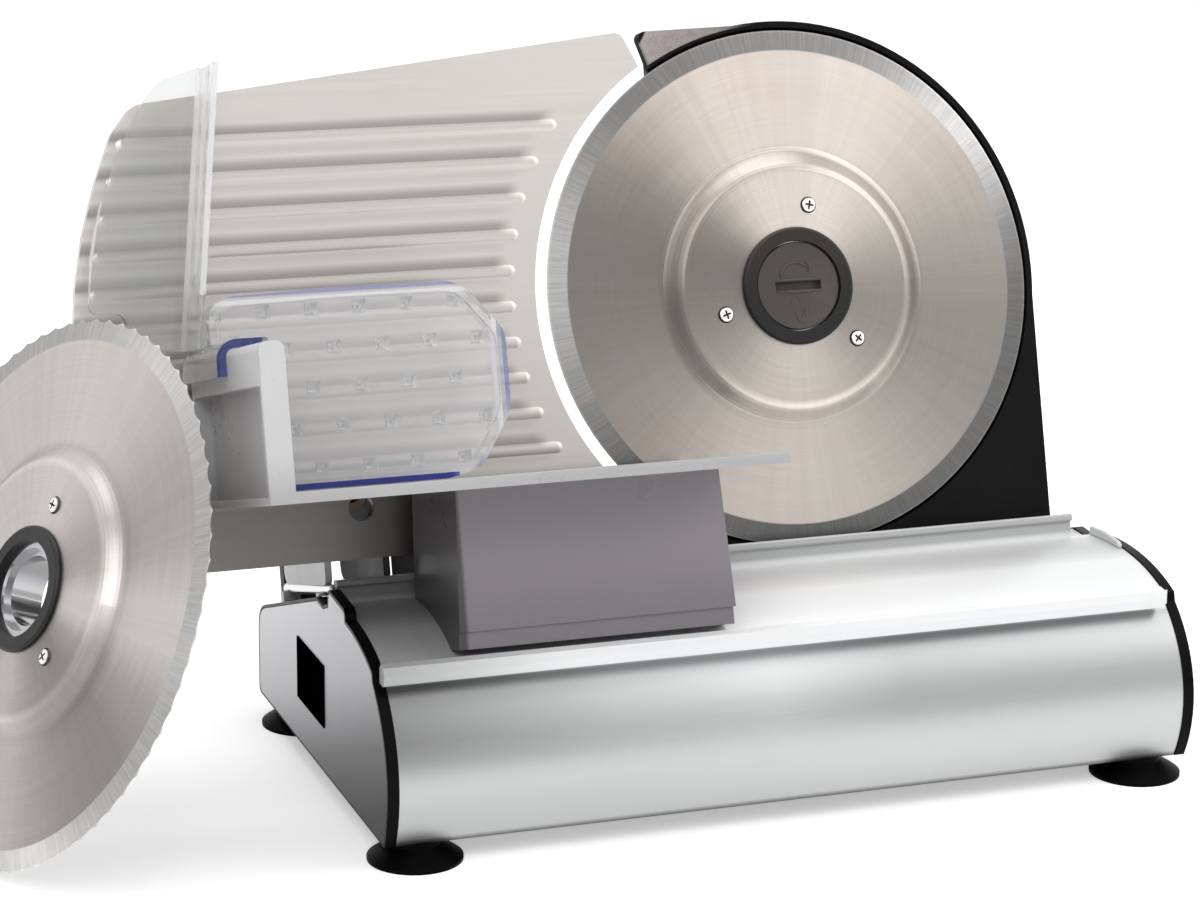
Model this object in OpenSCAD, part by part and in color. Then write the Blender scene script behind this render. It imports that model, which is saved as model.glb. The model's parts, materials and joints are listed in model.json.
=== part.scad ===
// Domestic food slicer: tilted round blade, sliding food tray, thickness gauge and a spare serrated blade.
// Lengths are in millimetres and angles in degrees. +X is right, +Y is back and +Z is up.
// The origin is on the tabletop, below the middle of the whole set.

/* [Placement] */
// Lean of the blade back from upright
tilt = 15.8; // [14:0.1:17]
// Height of the blade centre above the tabletop
blade_height = 167.4; // [165:0.1:185]
// Distance of the blade centre to the right of the origin
blade_x = 109.1; // [90:0.1:130]
// Distance of the blade centre behind the origin
blade_y = 20.4; // [0:0.1:40]

/* [Blade] */
// Radius of both blades at the cutting edge
blade_r = 95; // [92:0.5:98]
// Thickness of the blade sheet
blade_t = 1.5; // [1.2:0.1:2]
// Width of the ground bevel
bevel_w = 7.5; // [5:0.5:10]
// Height that the ground bevel rises from the edge
bevel_rise = 1; // [0.6:0.1:1.4]
// Height that the middle of the blade is dished forward
dish_rise = 5; // [4:0.1:6]
// Radius of the flat boss in the middle
boss_r = 43; // [41:0.5:46]
// Width of the sloping ring around the boss
dish_w = 9; // [6:0.5:12]
// Radius of the hole through the middle of the blade
blade_hole_r = 19.7; // [19.4:0.1:20.4]
// Number of blade screws
blade_screws_n = 3; // [3:1:6]
// Radius of the circle on which the blade screws lie
blade_screws_at = 30.3; // [28:0.1:33]
// Number of scallops around the serrated blade
scallop_n = 72; // [60:6:84]
// Depth of each scallop
scallop_depth = 1.1; // [0.8:0.1:1.4]

/* [Blade hub] */
// Outer radius of the trim ring in front of the blade
ring_r = 21.7; // [21:0.1:23]
// Height of the trim ring above the boss
ring_h = 1.8; // [1.2:0.1:2.4]
// Radius of the barrel that fills the blade hole
barrel_r = 19.5; // [19:0.1:19.5]
// Radius of the opening through the hub
hub_bore_r = 16.6; // [16.4:0.1:17]
// Radius of the hub flange behind the blade
hub_flange_r = 38; // [36:0.5:40]
// Thickness of the hub flange
hub_flange_t = 4; // [3.5:0.5:5]
// Radius of the tail behind the hub flange
hub_tail_r = 24; // [22:0.5:25]
// Length of the tail behind the hub flange
hub_tail_l = 10; // [8:0.5:11]
// Radius of the coin lock's stem
lock_stem_r = 12; // [11:0.5:13]
// Width of the slot in the coin lock
coin_slot_w = 3; // [2.4:0.2:4]
// Length of the slot in the coin lock
coin_slot_l = 18; // [14:1:22]

/* [Drive] */
// Radius of the fixed spindle
spindle_r = 6; // [5:0.5:7]
// Radius of the drive gear over its teeth
gear_r = 58; // [54:0.5:60]
// Width of the drive gear's toothed rim
gear_w = 10; // [8:1:12]
// Number of teeth on the drive gear
gear_teeth = 60; // [48:6:72]
// Radius of the worm over its threads
worm_r = 7; // [6:0.5:8]
// Length of the worm
worm_l = 28; // [22:2:32]
// Radius of the motor
motor_r = 21; // [18:0.5:22]
// Length of the motor can
motor_l = 46; // [40:1:48]
// Radius of the motor shaft
shaft_r = 3; // [2.5:0.5:4]

/* [Housing] */
// Gap between the blade edge and the rim around it
rim_gap = 1.2; // [1:0.1:2]
// Thickness of the rim and of the housing walls
housing_wall = 2.3; // [2:0.1:3]
// Depth of the housing behind the blade edge
housing_depth = 60; // [58:1:66]
// Thickness of the housing's rear cover
rear_cover_t = 4; // [3:0.5:5]
// Radius of the housing behind the cutting side
throat_r = 73; // [70:0.5:76]

/* [Base] */
// Height of the feet under the base
foot_h = 8.1; // [6:0.1:10]
// Radius of the suction cups
foot_r = 16.5; // [14:0.5:18]
// Left end of the aluminium extrusion, from the blade centre
base_left = -183.1; // [-185:0.1:-180]
// Right end of the aluminium extrusion, from the blade centre
base_right = 111.3; // [108:0.1:112]
// Wall of the aluminium extrusion
base_wall = 2.4; // [2:0.1:3]
// Thickness of each end cap
cap_t = 2.6; // [2:0.1:3]
// Thickness of the black frame that holds each end cap
seal_t = 4.1; // [3.8:0.1:4.5]
// Height that the black frame stands proud of the aluminium
seal_proud = 0.5; // [0.2:0.1:0.8]
// Radius of the pegs that hold the end caps
peg_r = 3; // [2.5:0.1:3.4]
// Length of the rocker switch opening
rocker_l = 31.6; // [28:0.2:34]
// Height of the rocker switch opening
rocker_h = 18; // [16:0.2:20]

/* [Thickness gauge] */
// Gap between the blade edge and the gauge plate
gauge_gap = 4.2; // [3.4:0.1:5]
// Thickness of the gauge plate
gauge_t = 4; // [3:0.2:5]
// Distance between the ribs of the gauge plate
rib_pitch = 12.9; // [12:0.1:13.4]
// Number of ribs on the gauge plate
rib_n = 10; // [8:1:10]
// Radius of the guide rods
rod_r = 2; // [1.6:0.1:2.2]
// Length of the gauge bracket behind the gauge plate
cheek_l = 58; // [50:1:60]
// Sheet thickness of the gauge bracket
cheek_t = 2.5; // [2:0.1:3]
// Distance that the gauge plate moves back
gauge_travel = 15; // [10:1:16]
// Radius of the thickness knob
knob_r = 20; // [17:0.5:22]
// Length of the thickness knob
knob_l = 16; // [12:1:18]
// Radius of the threaded spindle of the thickness knob
thread_r = 4; // [3:0.1:4.5]

/* [Carriage] */
// Depth of the food tray
tray_depth = 103; // [95:1:108]
// Left face of the food tray, from the blade centre
tray_left = -228.5; // [-232:0.5:-226]
// Right end of the food tray, from the blade centre
tray_right = -50; // [-54:0.5:-48]
// Thickness of the food tray's floor
tray_t = 2.2; // [2:0.1:2.8]
// Thickness of the food tray's left wall
tray_wall = 8.5; // [7:0.5:9]
// Height of the food tray's left wall
tray_wall_h = 48.8; // [45:0.1:51]
// Distance that the carriage moves to the right
carriage_travel = 150; // [130:5:150]
// Clearance under the carriage
glide_gap = 0.4; // [0.3:0.1:0.6]

/* [Food pusher] */
// Thickness of the clear plastic
clear_t = 3; // [2.5:0.1:3.5]
// Height of the gripping spikes
spike_h = 6; // [4:0.5:7]
// Distance between the gripping spikes
spike_pitch = 17.1; // [16:0.1:18]
// Clearance between the pusher and the wall that it slides on
slide_gap = 0.3; // [0.3:0.1:0.5]

/* [Hidden] */
$fn = 96;

// Clearance of a part that turns in or slides on another
run_gap = 0.05;
// Clearance of a part that is fixed in another
fit_gap = 0.1;
// Length by which a cutter runs past what it cuts
cut_over = 1;

// Heights in front of the plane of the cutting edge
boss_front = bevel_rise + dish_rise;
boss_back = boss_front - blade_t;
flange_back = boss_back - hub_flange_t;
tail_back = flange_back - hub_tail_l;
pan_front = -3.5;
gear_front = -housing_depth + 31;
gear_back = gear_front - gear_w;
gear_mid = (gear_front + gear_back) / 2;

// Sizes that follow from the blade
rim_inner_r = blade_r + rim_gap;
rim_r = rim_inner_r + housing_wall;
gauge_arc_r = blade_r + gauge_gap;
deck_top = 1.5 - rim_r;
rail_up = 2.5 - blade_r;
base_bottom = foot_h - blade_height;

// Left and right faces of the base with its caps
cap_left = base_left - seal_t;
cap_right = base_right + seal_t;

// Food tray, in front of and below the blade centre
tray_back = 5;
tray_front = tray_back + tray_depth;
tray_up = -60.3;
tray_skirt = 3.6;
wall_top = tray_up + tray_wall_h;
block_up = tray_up - tray_t;
block_back = 12;
block_front = 65.5;

// ---- Frames and helpers ----

// The blade's own frame: x is right, y is up the blade and z is towards the user
module blade_frame() {
    translate([blade_x, blade_y, blade_height]) rotate([90 - tilt, 0, 0]) children();
}

// The upright frame with its origin at the blade centre
module base_frame() {
    translate([blade_x, blade_y, blade_height]) children();
}

// In the upright frame: extrudes an outline drawn in (back, up) from x0 to x1
module along_x(x0, x1) {
    translate([x0, 0, 0]) rotate([90, 0, 90]) linear_extrude(x1 - x0) children();
}

// In the blade frame: extrudes an outline drawn in (forward, up) from x0 to x1
module across(x0, x1) {
    translate([x1, 0, 0]) rotate([0, -90, 0]) linear_extrude(x1 - x0) children();
}

// In the blade frame: extrudes an outline drawn in (right, up) from z0 to z1
module slab(z0, z1) {
    translate([0, 0, z0]) linear_extrude(z1 - z0) children();
}

module box(from, to) {
    translate(from) cube(to - from);
}

// A rod along z from z0 to z1
module rod(r, z0, z1) {
    translate([0, 0, z0]) cylinder(r = r, h = z1 - z0);
}

module tube(r, bore, z0, z1) {
    difference() {
        rod(r, z0, z1);
        rod(bore, z0 - cut_over, z1 + cut_over);
    }
}

// A rod along x from x0 to x1
module rod_x(r, x0, x1) {
    translate([x0, 0, 0]) rotate([0, 90, 0]) cylinder(r = r, h = x1 - x0);
}

function unit(v) = v / norm(v);

function bezier(a, b, c, d, steps) = [for (i = [0:steps]) let (t = i / steps)
    pow(1 - t, 3) * a + 3 * t * pow(1 - t, 2) * b + 3 * t * t * (1 - t) * c + pow(t, 3) * d];

// The round of radius r at corner b, between its neighbours a and c
function corner(a, b, c, r, steps = 6) =
    let (u = unit(a - b), w = unit(c - b), half = acos(u * w) / 2,
         start = b + u * r / tan(half), end = b + w * r / tan(half), centre = b + unit(u + w) * r / sin(half))
    [for (i = [0:steps]) centre + r * unit((start - centre) * (1 - i / steps) + (end - centre) * i / steps)];

// An outline from corners [x, y, radius]
function rounded(p) = let (n = len(p)) [for (i = [0:n - 1])
    let (a = p[(i + n - 1) % n], b = p[i], c = p[(i + 1) % n])
    each b[2] == 0 ? [[b[0], b[1]]] : corner([a[0], a[1]], [b[0], b[1]], [c[0], c[1]], b[2])];

// A clockwise outline moved inwards by d
function inset(p, d) = let (n = len(p)) [for (i = [0:n - 1])
    let (e = unit(p[i] - p[(i + n - 1) % n]), f = unit(p[(i + 1) % n] - p[i]),
         m = [e[1] + f[1], -e[0] - f[0]])
    p[i] + m * d / (1 + e * f)];

// A point given forward of and up the blade, in (back, up) of the upright frame
function leaned(forward, up) = [up * sin(tilt) - forward * cos(tilt), up * cos(tilt) + forward * sin(tilt)];

// ---- Base ----

base_front_skin = bezier([-104.5, base_bottom], [-114.5, base_bottom + 20],
                         [-109, deck_top - 22], [-92, deck_top - 8], 14);
base_slide = bezier([-91, deck_top - 4.6], [-74, deck_top + 3.4], [-52, deck_top + 4.6], [-34, deck_top + 1.8], 12);
deck_front = [-19.5, deck_top];
deck_back = [56, deck_top - 25.4];
base_back = 66;
base_top = concat(base_slide, [[-28, deck_top - 0.6], deck_front],
                  bezier(deck_back, [62, deck_top - 27.4], [base_back, deck_top - 30], [base_back, deck_top - 38], 5),
                  [[base_back, base_bottom + 2], [base_back - 2, base_bottom]]);
base_outline = concat(base_front_skin, base_top);
front_lip = [[-97.5, deck_top - 7.9], [-99.3, deck_top - 7.2], [-99.6, deck_top - 4], [-98.7, deck_top - 1.1],
             [-95.6, deck_top - 0.5], [-92.5, deck_top - 3.6]];
lip_end = [[-93.6, deck_top - 7.7], [-97.5, deck_top - 7.9], [-99.3, deck_top - 7.2], [-99.6, deck_top - 4],
           [-98.7, deck_top - 1.1], [-95.6, deck_top - 0.5], [-93.6, deck_top - 2.4]];
rail_lip_h = 2.7;
rail_front = 5.6;
rail_back = 3.6;
rail_lip_front = 7.4;
rail_foot = 14;
rail_short = 7.9;
lip_short = 4;
lip_over = 2.2;
rear_rail = [leaned(rail_front, rail_up - rail_lip_h), leaned(rail_lip_front - 0.6, rail_up - rail_lip_h),
             leaned(rail_lip_front, rail_up - rail_lip_h + 0.6), leaned(rail_lip_front, rail_up - 0.6),
             leaned(rail_lip_front - 0.6, rail_up), leaned(rail_back - 0.6, rail_up),
             leaned(rail_back - 1, rail_up - 0.6), leaned(rail_back - 1, rail_up - rail_lip_h + 0.6),
             leaned(rail_back, rail_up - rail_lip_h), leaned(rail_back, rail_up - rail_foot),
             leaned(rail_front, rail_up - rail_foot)];
cap_hump = [[-34, deck_top - 3], [-35.2, deck_top + 7], [-37.4, deck_top + 7.8], [-55.6, deck_top + 6.8],
            [-57.4, deck_top + 5.4], [-57.8, deck_top - 1]];
peg_wall = 2.6;
peg_at = [[-101.2, deck_top - 33], [base_back - base_wall - peg_r - 1.8, deck_top - 42], [-45, deck_top - 3]];
plate_front = -84;
plate_back = 36;
ledge_w = 6;
foot_at = [[-173.8, -96.1], [100.1, -96.1], [-173.8, 48.5], [100.1, 48.5]];
foot_stem_r = 4;
foot_stem_head_r = 5.4;

module peg_circles(r) {
    for (p = peg_at) translate(p) circle(r = r);
}

module base_section() {
    difference() {
        union() {
            polygon(concat(base_front_skin, front_lip, base_top));
            polygon(rear_rail);
        }
        difference() {
            polygon(inset(base_outline, base_wall));
            peg_circles(peg_r + fit_gap + peg_wall);
            for (y = [plate_front - ledge_w, plate_back - ledge_w])
                translate([y, base_bottom + base_wall / 2]) square([2 * ledge_w, 1.5 * base_wall]);
        }
        peg_circles(peg_r + fit_gap);
        translate([plate_front, base_bottom - cut_over])
            square([plate_back - plate_front, base_wall + cut_over]);
    }
}

module base_cover() color([0.78, 0.79, 0.8]) base_frame() {
    difference() {
        along_x(base_left, base_right) base_section();
        for (p = foot_at) translate([p[0], p[1], base_bottom]) rod(foot_stem_r + fit_gap, -cut_over, 3 * base_wall);
        // The rear rail and the front lip end short of the right cap
        along_x(base_right - rail_short, base_right + cut_over)
            polygon([[-34, deck_top + 1.85], [-28, deck_top - 0.55], [-10, deck_top], [-10, rail_up + 20],
                     [-36, rail_up + 20], [-36, deck_top + 5]]);
        box([base_right - lip_short, -102, deck_top - 9], [base_right + cut_over, -93.4, deck_top + 2]);
    }
    along_x(base_left - lip_over, base_left + cut_over) polygon(lip_end);
}

module bottom_plate() color([0.25, 0.25, 0.26]) base_frame() difference() {
    box([base_left + fit_gap, plate_front + fit_gap, base_bottom],
        [base_right - fit_gap, plate_back - fit_gap, base_bottom + base_wall]);
    vent_w = 3;
    for (i = [0:7]) translate([20 + i * 3 * vent_w, -40, base_bottom - cut_over])
        cube([vent_w, 40, base_wall + 2 * cut_over]);
}

module cap_section(hump) {
    polygon(base_outline);
    if (hump) polygon(cap_hump);
}

rocker_at = [-11.2, (base_bottom + deck_top) / 2 - 2.35];
bezel_wall = 1.6;

module rocker_window(grow) {
    translate(rocker_at) square([rocker_l + 2 * grow, rocker_h + 2 * grow], center = true);
}

frame_rim = 0.8;
peg_l = 9;

// The black frame between the aluminium and an end cap; side is -1 at the left and 1 at the right
module end_seal(x0, side) color([0.06, 0.06, 0.065]) base_frame() difference() {
    along_x(x0, x0 + seal_t) intersection() {
        offset(delta = seal_proud) cap_section(side < 0);
        translate([-150, base_bottom]) square([300, 200]);
    }
    cap_x = side < 0 ? x0 - cut_over : x0 + seal_t - cap_t;
    along_x(cap_x, cap_x + cap_t + cut_over) offset(delta = fit_gap - frame_rim) cap_section(side < 0);
    along_x(x0 - cut_over, x0 + seal_t + cut_over) {
        peg_circles(peg_r + fit_gap);
        if (side < 0) rocker_window(bezel_wall + fit_gap);
    }
}

module left_end_seal() end_seal(cap_left, -1);
module right_end_seal() end_seal(base_right, 1);

module end_cap(x0, side) color([0.74, 0.75, 0.77]) base_frame() {
    along_x(x0, x0 + cap_t) difference() {
        offset(delta = -frame_rim) cap_section(side < 0);
        if (side < 0) rocker_window(bezel_wall + fit_gap);
    }
    peg_x = side < 0 ? x0 + cap_t - cut_over : x0 - peg_l;
    along_x(peg_x, peg_x + peg_l + cut_over) peg_circles(peg_r);
}

module left_end_cap() end_cap(cap_left, -1);
module right_end_cap() end_cap(cap_right - cap_t, 1);

foot_lip = 1.2;
foot_neck_r = 9;

// A suction cup with its stem pushed through the base
module foot(p) color([0.05, 0.05, 0.055]) base_frame() translate([p[0], p[1], base_bottom]) {
    rotate_extrude() polygon(concat(
        [[0, -foot_h + 3.2]],
        bezier([foot_r - 7, -foot_h + 2.8], [foot_r - 4, -foot_h + 2.2], [foot_r - 2.6, -foot_h + 1], [foot_r - 2, -foot_h], 5),
        [[foot_r, -foot_h], [foot_r, -foot_h + foot_lip]],
        bezier([foot_r - 0.8, -foot_h + foot_lip + 0.6], [foot_r - 3, -foot_h + 3.4],
               [foot_neck_r + 1, -foot_h + 5], [foot_neck_r, -2.2], 6),
        [[foot_neck_r, 0], [foot_stem_r, 0], [foot_stem_r, base_wall + fit_gap],
         [foot_stem_head_r, base_wall + fit_gap], [foot_stem_r - 1, base_wall + 3], [0, base_wall + 3]]));
}

module foot_front_left() foot(foot_at[0]);
module foot_front_right() foot(foot_at[1]);
module foot_rear_left() foot(foot_at[2]);
module foot_rear_right() foot(foot_at[3]);

stop_t = 1.6;
stop_h = 3.4;
stop_x = base_right - stop_t - fit_gap;

// The bar that stops the carriage at the right, seated on the curve that the carriage slides over
module end_stop() color([0.86, 0.86, 0.87]) base_frame() difference() {
    along_x(stop_x, stop_x + stop_t)
        polygon([[-35, deck_top - 1], [-35, deck_top + 2 + stop_h], [-46, deck_top + 2.8 + stop_h],
                 [-57, deck_top + 2 + stop_h], [-58.5, deck_top + 1 + stop_h], [-58.5, deck_top - 1]]);
    along_x(stop_x - cut_over, stop_x + stop_t + cut_over) polygon(base_outline);
}

// ---- Rocker switch ----

rocker_pivot_r = 1.5;
rocker_in = 5;
rocker_x = cap_left + rocker_in;
bezel_in = 16;
bezel_proud = 0.5;

module switch_bezel() color([0.04, 0.04, 0.045]) base_frame() {
    difference() {
        along_x(cap_left - bezel_proud, cap_left) rocker_window(bezel_wall + 1);
        along_x(cap_left - cut_over, cap_left + cut_over) rocker_window(0);
    }
    difference() {
        along_x(cap_left - bezel_proud, cap_left + bezel_in) rocker_window(bezel_wall);
        along_x(cap_left - cut_over, cap_left + bezel_in - bezel_wall) rocker_window(0);
        translate([rocker_x, rocker_at[0], rocker_at[1] - rocker_h])
            rod(rocker_pivot_r + run_gap, 0, 2 * rocker_h);
    }
}

rocker_gap = 0.6;

module rocker_switch() color([0.03, 0.03, 0.035]) base_frame() translate([rocker_x, rocker_at[0], rocker_at[1]]) {
    rod(rocker_pivot_r, -rocker_h / 2 - bezel_wall / 2, rocker_h / 2 + bezel_wall / 2);
    half = rocker_l / 2 - rocker_gap;
    translate([0, 0, -rocker_h / 2 + rocker_gap]) linear_extrude(rocker_h - 2 * rocker_gap)
        polygon([[3.4, -half + 2], [-2.2, -half + 0.8], [-4.6, -half + 0.8], [-3.2, 0], [-4.6, half - 0.8],
                 [-2.2, half - 0.8], [3.4, half - 2]]);
}

// ---- Housing ----

plinth_left = -143.3;
plinth_up = -78;
plinth_front = -24;
throat_x = -47.5;
side_x = rim_r - 0.4;
shoulder = [[throat_x, 80, 0], [throat_x - 5.6, 96.4, 2.5], [10, rim_r - 0.6, 0], [10, 60, 0], [throat_x, 60, 0]];

// The housing as the user sees it; by grows the outline smaller
module housing_outline(by = 0) {
    circle(r = throat_r - by);
    intersection() {
        circle(r = rim_r - by);
        translate([throat_x + by, -rim_r]) square([2 * rim_r, 2 * rim_r]);
    }
    polygon(inset(rounded(shoulder), by));
    translate([throat_x + by, -rim_r - 6]) square([side_x - throat_x - 2 * by, rim_r + 6]);
}

module plinth_outline(by = 0) {
    translate([plinth_left + by, -rim_r - 6]) square([side_x - 3 - plinth_left - 2 * by, plinth_up - by + rim_r + 6]);
}

// Everything below the sloping deck behind the rear rail
module under_deck(lift = 0) {
    slope = (deck_back - deck_front) / (deck_back[0] - deck_front[0]);
    along_x(-250, 150) polygon([deck_front - 60 * slope + [0, lift], deck_front + 140 * slope + [0, lift],
                                deck_front + [140, -140], deck_front + [-60, -140]]);
}

boss_screw_r = 1.6;
cover_boss_r = 4.5;
boss_in = rim_inner_r - 3.6;
throat_in = throat_r - housing_wall - 3.6;
cover_screw_at = [throat_in * [cos(138), sin(138)], throat_in * [cos(208), sin(208)], [2, boss_in],
                  boss_in * [cos(42), sin(42)], boss_in * [cos(2), sin(2)], [90, -90], [8, -90], [-137, -88]];

module cover_screw_bores(r, z0, z1) {
    for (p = cover_screw_at) translate([p[0], p[1], 0]) rod(r, z0, z1);
}

module blade_housing() color([0.07, 0.07, 0.08]) difference() {
    blade_frame() {
        difference() {
            union() {
                slab(-housing_depth, 0) housing_outline();
                slab(-housing_depth, plinth_front) plinth_outline();
            }
            rod(rim_inner_r, pan_front, cut_over);
            difference() {
                union() {
                    slab(-housing_depth - cut_over, pan_front - housing_wall) housing_outline(housing_wall);
                    slab(-housing_depth - cut_over, plinth_front - housing_wall) plinth_outline(housing_wall);
                }
                cover_screw_bores(cover_boss_r, -housing_depth, pan_front - housing_wall);
                box([plinth_left, -rim_r - 6, -housing_depth], [rim_r, 2 * housing_wall - rim_r, 0]);
            }
            rod(hub_tail_r + 2, -2 * housing_wall + pan_front, cut_over);
            cover_screw_bores(boss_screw_r, -housing_depth - cut_over, -housing_depth + 12);
        }
    }
    base_frame() under_deck();
}

vent_slot = 3;

module rear_cover() color([0.08, 0.08, 0.09]) difference() {
    blade_frame() {
        difference() {
            union() {
                slab(-housing_depth - rear_cover_t, -housing_depth) {
                    housing_outline();
                    plinth_outline();
                }
                rod(2 * spindle_r, -housing_depth - cut_over, gear_back - 7);
                // Saddles for the motor
                for (x = [motor_x + 6, motor_x + motor_l - 10])
                    box([x, motor_up - motor_r - 2, -housing_depth], [x + 4, motor_up + motor_r - 4, gear_mid]);
            }
            rod(spindle_r, -housing_depth - rear_cover_t - cut_over, 0);
            translate([0, motor_up, gear_mid]) rod_x(motor_r + fit_gap, motor_x - cut_over, motor_x + motor_l + cut_over);
            cover_screw_bores(boss_screw_r + 0.4, -housing_depth - rear_cover_t - cut_over, 0);
            cover_screw_bores(2 * boss_screw_r, -housing_depth - rear_cover_t - cut_over, -housing_depth - 2);
            for (i = [0:6]) translate([motor_x + 2 + i * 2.1 * vent_slot, motor_up - 14, -housing_depth - rear_cover_t - cut_over])
                cube([vent_slot, 28, rear_cover_t + 2]);
        }
    }
    base_frame() under_deck();
}

module cover_screws() color([0.6, 0.6, 0.62]) blade_frame() for (p = cover_screw_at) translate([p[0], p[1], 0]) {
    rod(boss_screw_r - fit_gap, -housing_depth - 2, -housing_depth + 10);
    difference() {
        rod(2 * boss_screw_r - fit_gap, -housing_depth - rear_cover_t + 0.2, -housing_depth - 2);
        box([-0.4, -2 * boss_screw_r, -housing_depth - rear_cover_t], [0.4, 2 * boss_screw_r, -housing_depth - rear_cover_t + 1]);
    }
}

// ---- Drive ----

spindle_front = tail_back - 8;
motor_up = -(gear_r + worm_r + 0.5);
motor_x = rim_r - 58.5;
motor_shaft_l = 26;

module spindle() color([0.7, 0.7, 0.72]) blade_frame() rod(spindle_r, -housing_depth - rear_cover_t, spindle_front);

gear_tooth_h = 2.2;
gear_hub_r = 20;
gear_recess_r = lock_stem_r - 3.5;

module drive_gear() color([0.88, 0.86, 0.8]) blade_frame() difference() {
    union() {
        rod(gear_r - gear_tooth_h, gear_back, gear_front);
        for (i = [0:gear_teeth - 1]) rotate(i * 360 / gear_teeth)
            slab(gear_back, gear_front) polygon([
                [gear_r - 2 * gear_tooth_h, -gear_r * PI / gear_teeth * 0.7], [gear_r, -gear_r * PI / gear_teeth * 0.3],
                [gear_r, gear_r * PI / gear_teeth * 0.3], [gear_r - 2 * gear_tooth_h, gear_r * PI / gear_teeth * 0.7]]);
        rod(gear_hub_r, gear_back, tail_back);
        rod(2 * spindle_r, gear_back - 6.5, gear_back);
    }
    // Web between hub and rim
    for (z = [[gear_back - cut_over, gear_back + 3], [gear_front - 3, gear_front + cut_over]])
        tube(gear_r - 3 * gear_tooth_h, gear_hub_r + 2, z[0], z[1]);
    rod(spindle_r + run_gap, gear_back - 8, spindle_front + 0.3);
    rod(gear_recess_r, spindle_front, tail_back + cut_over);
}

module motor() color([0.45, 0.46, 0.48]) blade_frame() translate([0, motor_up, gear_mid]) difference() {
    union() {
        rod_x(motor_r, motor_x, motor_x + motor_l);
        rod_x(shaft_r + 5, motor_x - 3, motor_x);
        rod_x(shaft_r + 4, motor_x + motor_l, motor_x + motor_l + 3);
    }
    rod_x(shaft_r + run_gap, motor_x - 3 - cut_over, motor_x + motor_l - 8);
}

bearing_x = -24;
bearing_l = 8;

module motor_bearing() color([0.72, 0.6, 0.3]) blade_frame() difference() {
    union() {
        box([bearing_x, motor_up - 7, -housing_depth], [bearing_x + bearing_l, motor_up + 7, gear_mid]);
        translate([0, motor_up, gear_mid]) rod_x(7, bearing_x, bearing_x + bearing_l);
    }
    translate([0, motor_up, gear_mid]) rod_x(shaft_r + run_gap, bearing_x - cut_over, bearing_x + bearing_l + cut_over);
}

worm_groove = 1.6;

module worm_shaft() color([0.66, 0.66, 0.68]) blade_frame() translate([0, motor_up, gear_mid]) {
    rod_x(shaft_r, bearing_x, motor_x + motor_l - 10);
    worm_step = gear_r * 2 * PI / gear_teeth;
    difference() {
        rod_x(worm_r, -worm_l / 2, worm_l / 2);
        for (x = [-worm_l / 2 + worm_step / 2 : worm_step : worm_l / 2 - worm_step / 4])
            translate([x, 0, 0]) rotate([0, 90, 0]) tube(worm_r + cut_over, worm_r - worm_groove, 0, worm_step / 2);
    }
}

// ---- Blades and their hubs, drawn in the blade's own frame ----

// Height of the blade's front face at each step across the sloping ring
function dish_steps(n) = [for (i = [0:n]) let (t = i / n)
    [boss_r + dish_w * t, bevel_rise + dish_rise * (1 + cos(180 * t)) / 2]];

edge_t = 0.3;

module blade_disc() {
    rim = blade_r - bevel_w;
    front = concat([[blade_hole_r, boss_front]], dish_steps(8), [[rim, bevel_rise], [blade_r, 0]]);
    back = [for (i = [len(front) - 2:-1:0]) front[i] - [0, blade_t]];
    rotate_extrude($fn = 180) polygon(concat(front, [[blade_r, -edge_t]], back));
}

module at_blade_screws() {
    for (i = [0:blade_screws_n - 1]) rotate(77 + i * 360 / blade_screws_n) translate([blade_screws_at, 0, 0]) children();
}

blade_screw_r = 2;
blade_screw_head_r = 3.1;
blade_screw_head_h = 1.2;

module blade_blank() {
    difference() {
        blade_disc();
        at_blade_screws() rod(blade_screw_r + fit_gap, boss_back - cut_over, boss_front + cut_over);
    }
}

module scallops() {
    cutter_r = 8.5;
    for (i = [0:scallop_n - 1]) rotate(i * 360 / scallop_n)
        translate([blade_r - scallop_depth + cutter_r, 0, 0]) rod(cutter_r, -2 * blade_t, boss_front);
}

module hub_body() {
    difference() {
        union() {
            rod(barrel_r, flange_back, boss_front);
            rod(hub_flange_r, flange_back, boss_back);
            rod(hub_tail_r, tail_back, flange_back);
        }
        rod(hub_bore_r, tail_back - cut_over, boss_front + cut_over);
        rod(ring_spigot_r + fit_gap, boss_front - ring_spigot_l - fit_gap, boss_front + cut_over);
        at_blade_screws() rod(blade_screw_r + fit_gap, flange_back + 0.5, boss_front + cut_over);
    }
}

ring_spigot_r = barrel_r - 1.4;
ring_spigot_l = 4;

module ring_body() {
    difference() {
        union() {
            rotate_extrude() polygon([[hub_bore_r, boss_front], [ring_r, boss_front], [ring_r, boss_front + ring_h - 0.8],
                                      [ring_r - 0.8, boss_front + ring_h], [hub_bore_r, boss_front + ring_h]]);
            tube(ring_spigot_r, hub_bore_r, boss_front - ring_spigot_l, boss_front);
        }
        rod(hub_bore_r, boss_front - ring_spigot_l - cut_over, boss_front + ring_h + cut_over);
    }
}

sleeve_front = boss_front - 0.6;

// The stepped steel liner of the hub
module sleeve_body() {
    difference() {
        rod(hub_bore_r - fit_gap, tail_back, sleeve_front);
        rod(lock_stem_r + run_gap, tail_back - cut_over, sleeve_front + cut_over);
        rod(lock_stem_r + 2.2, sleeve_front - 2.5, sleeve_front + cut_over);
    }
}

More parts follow.
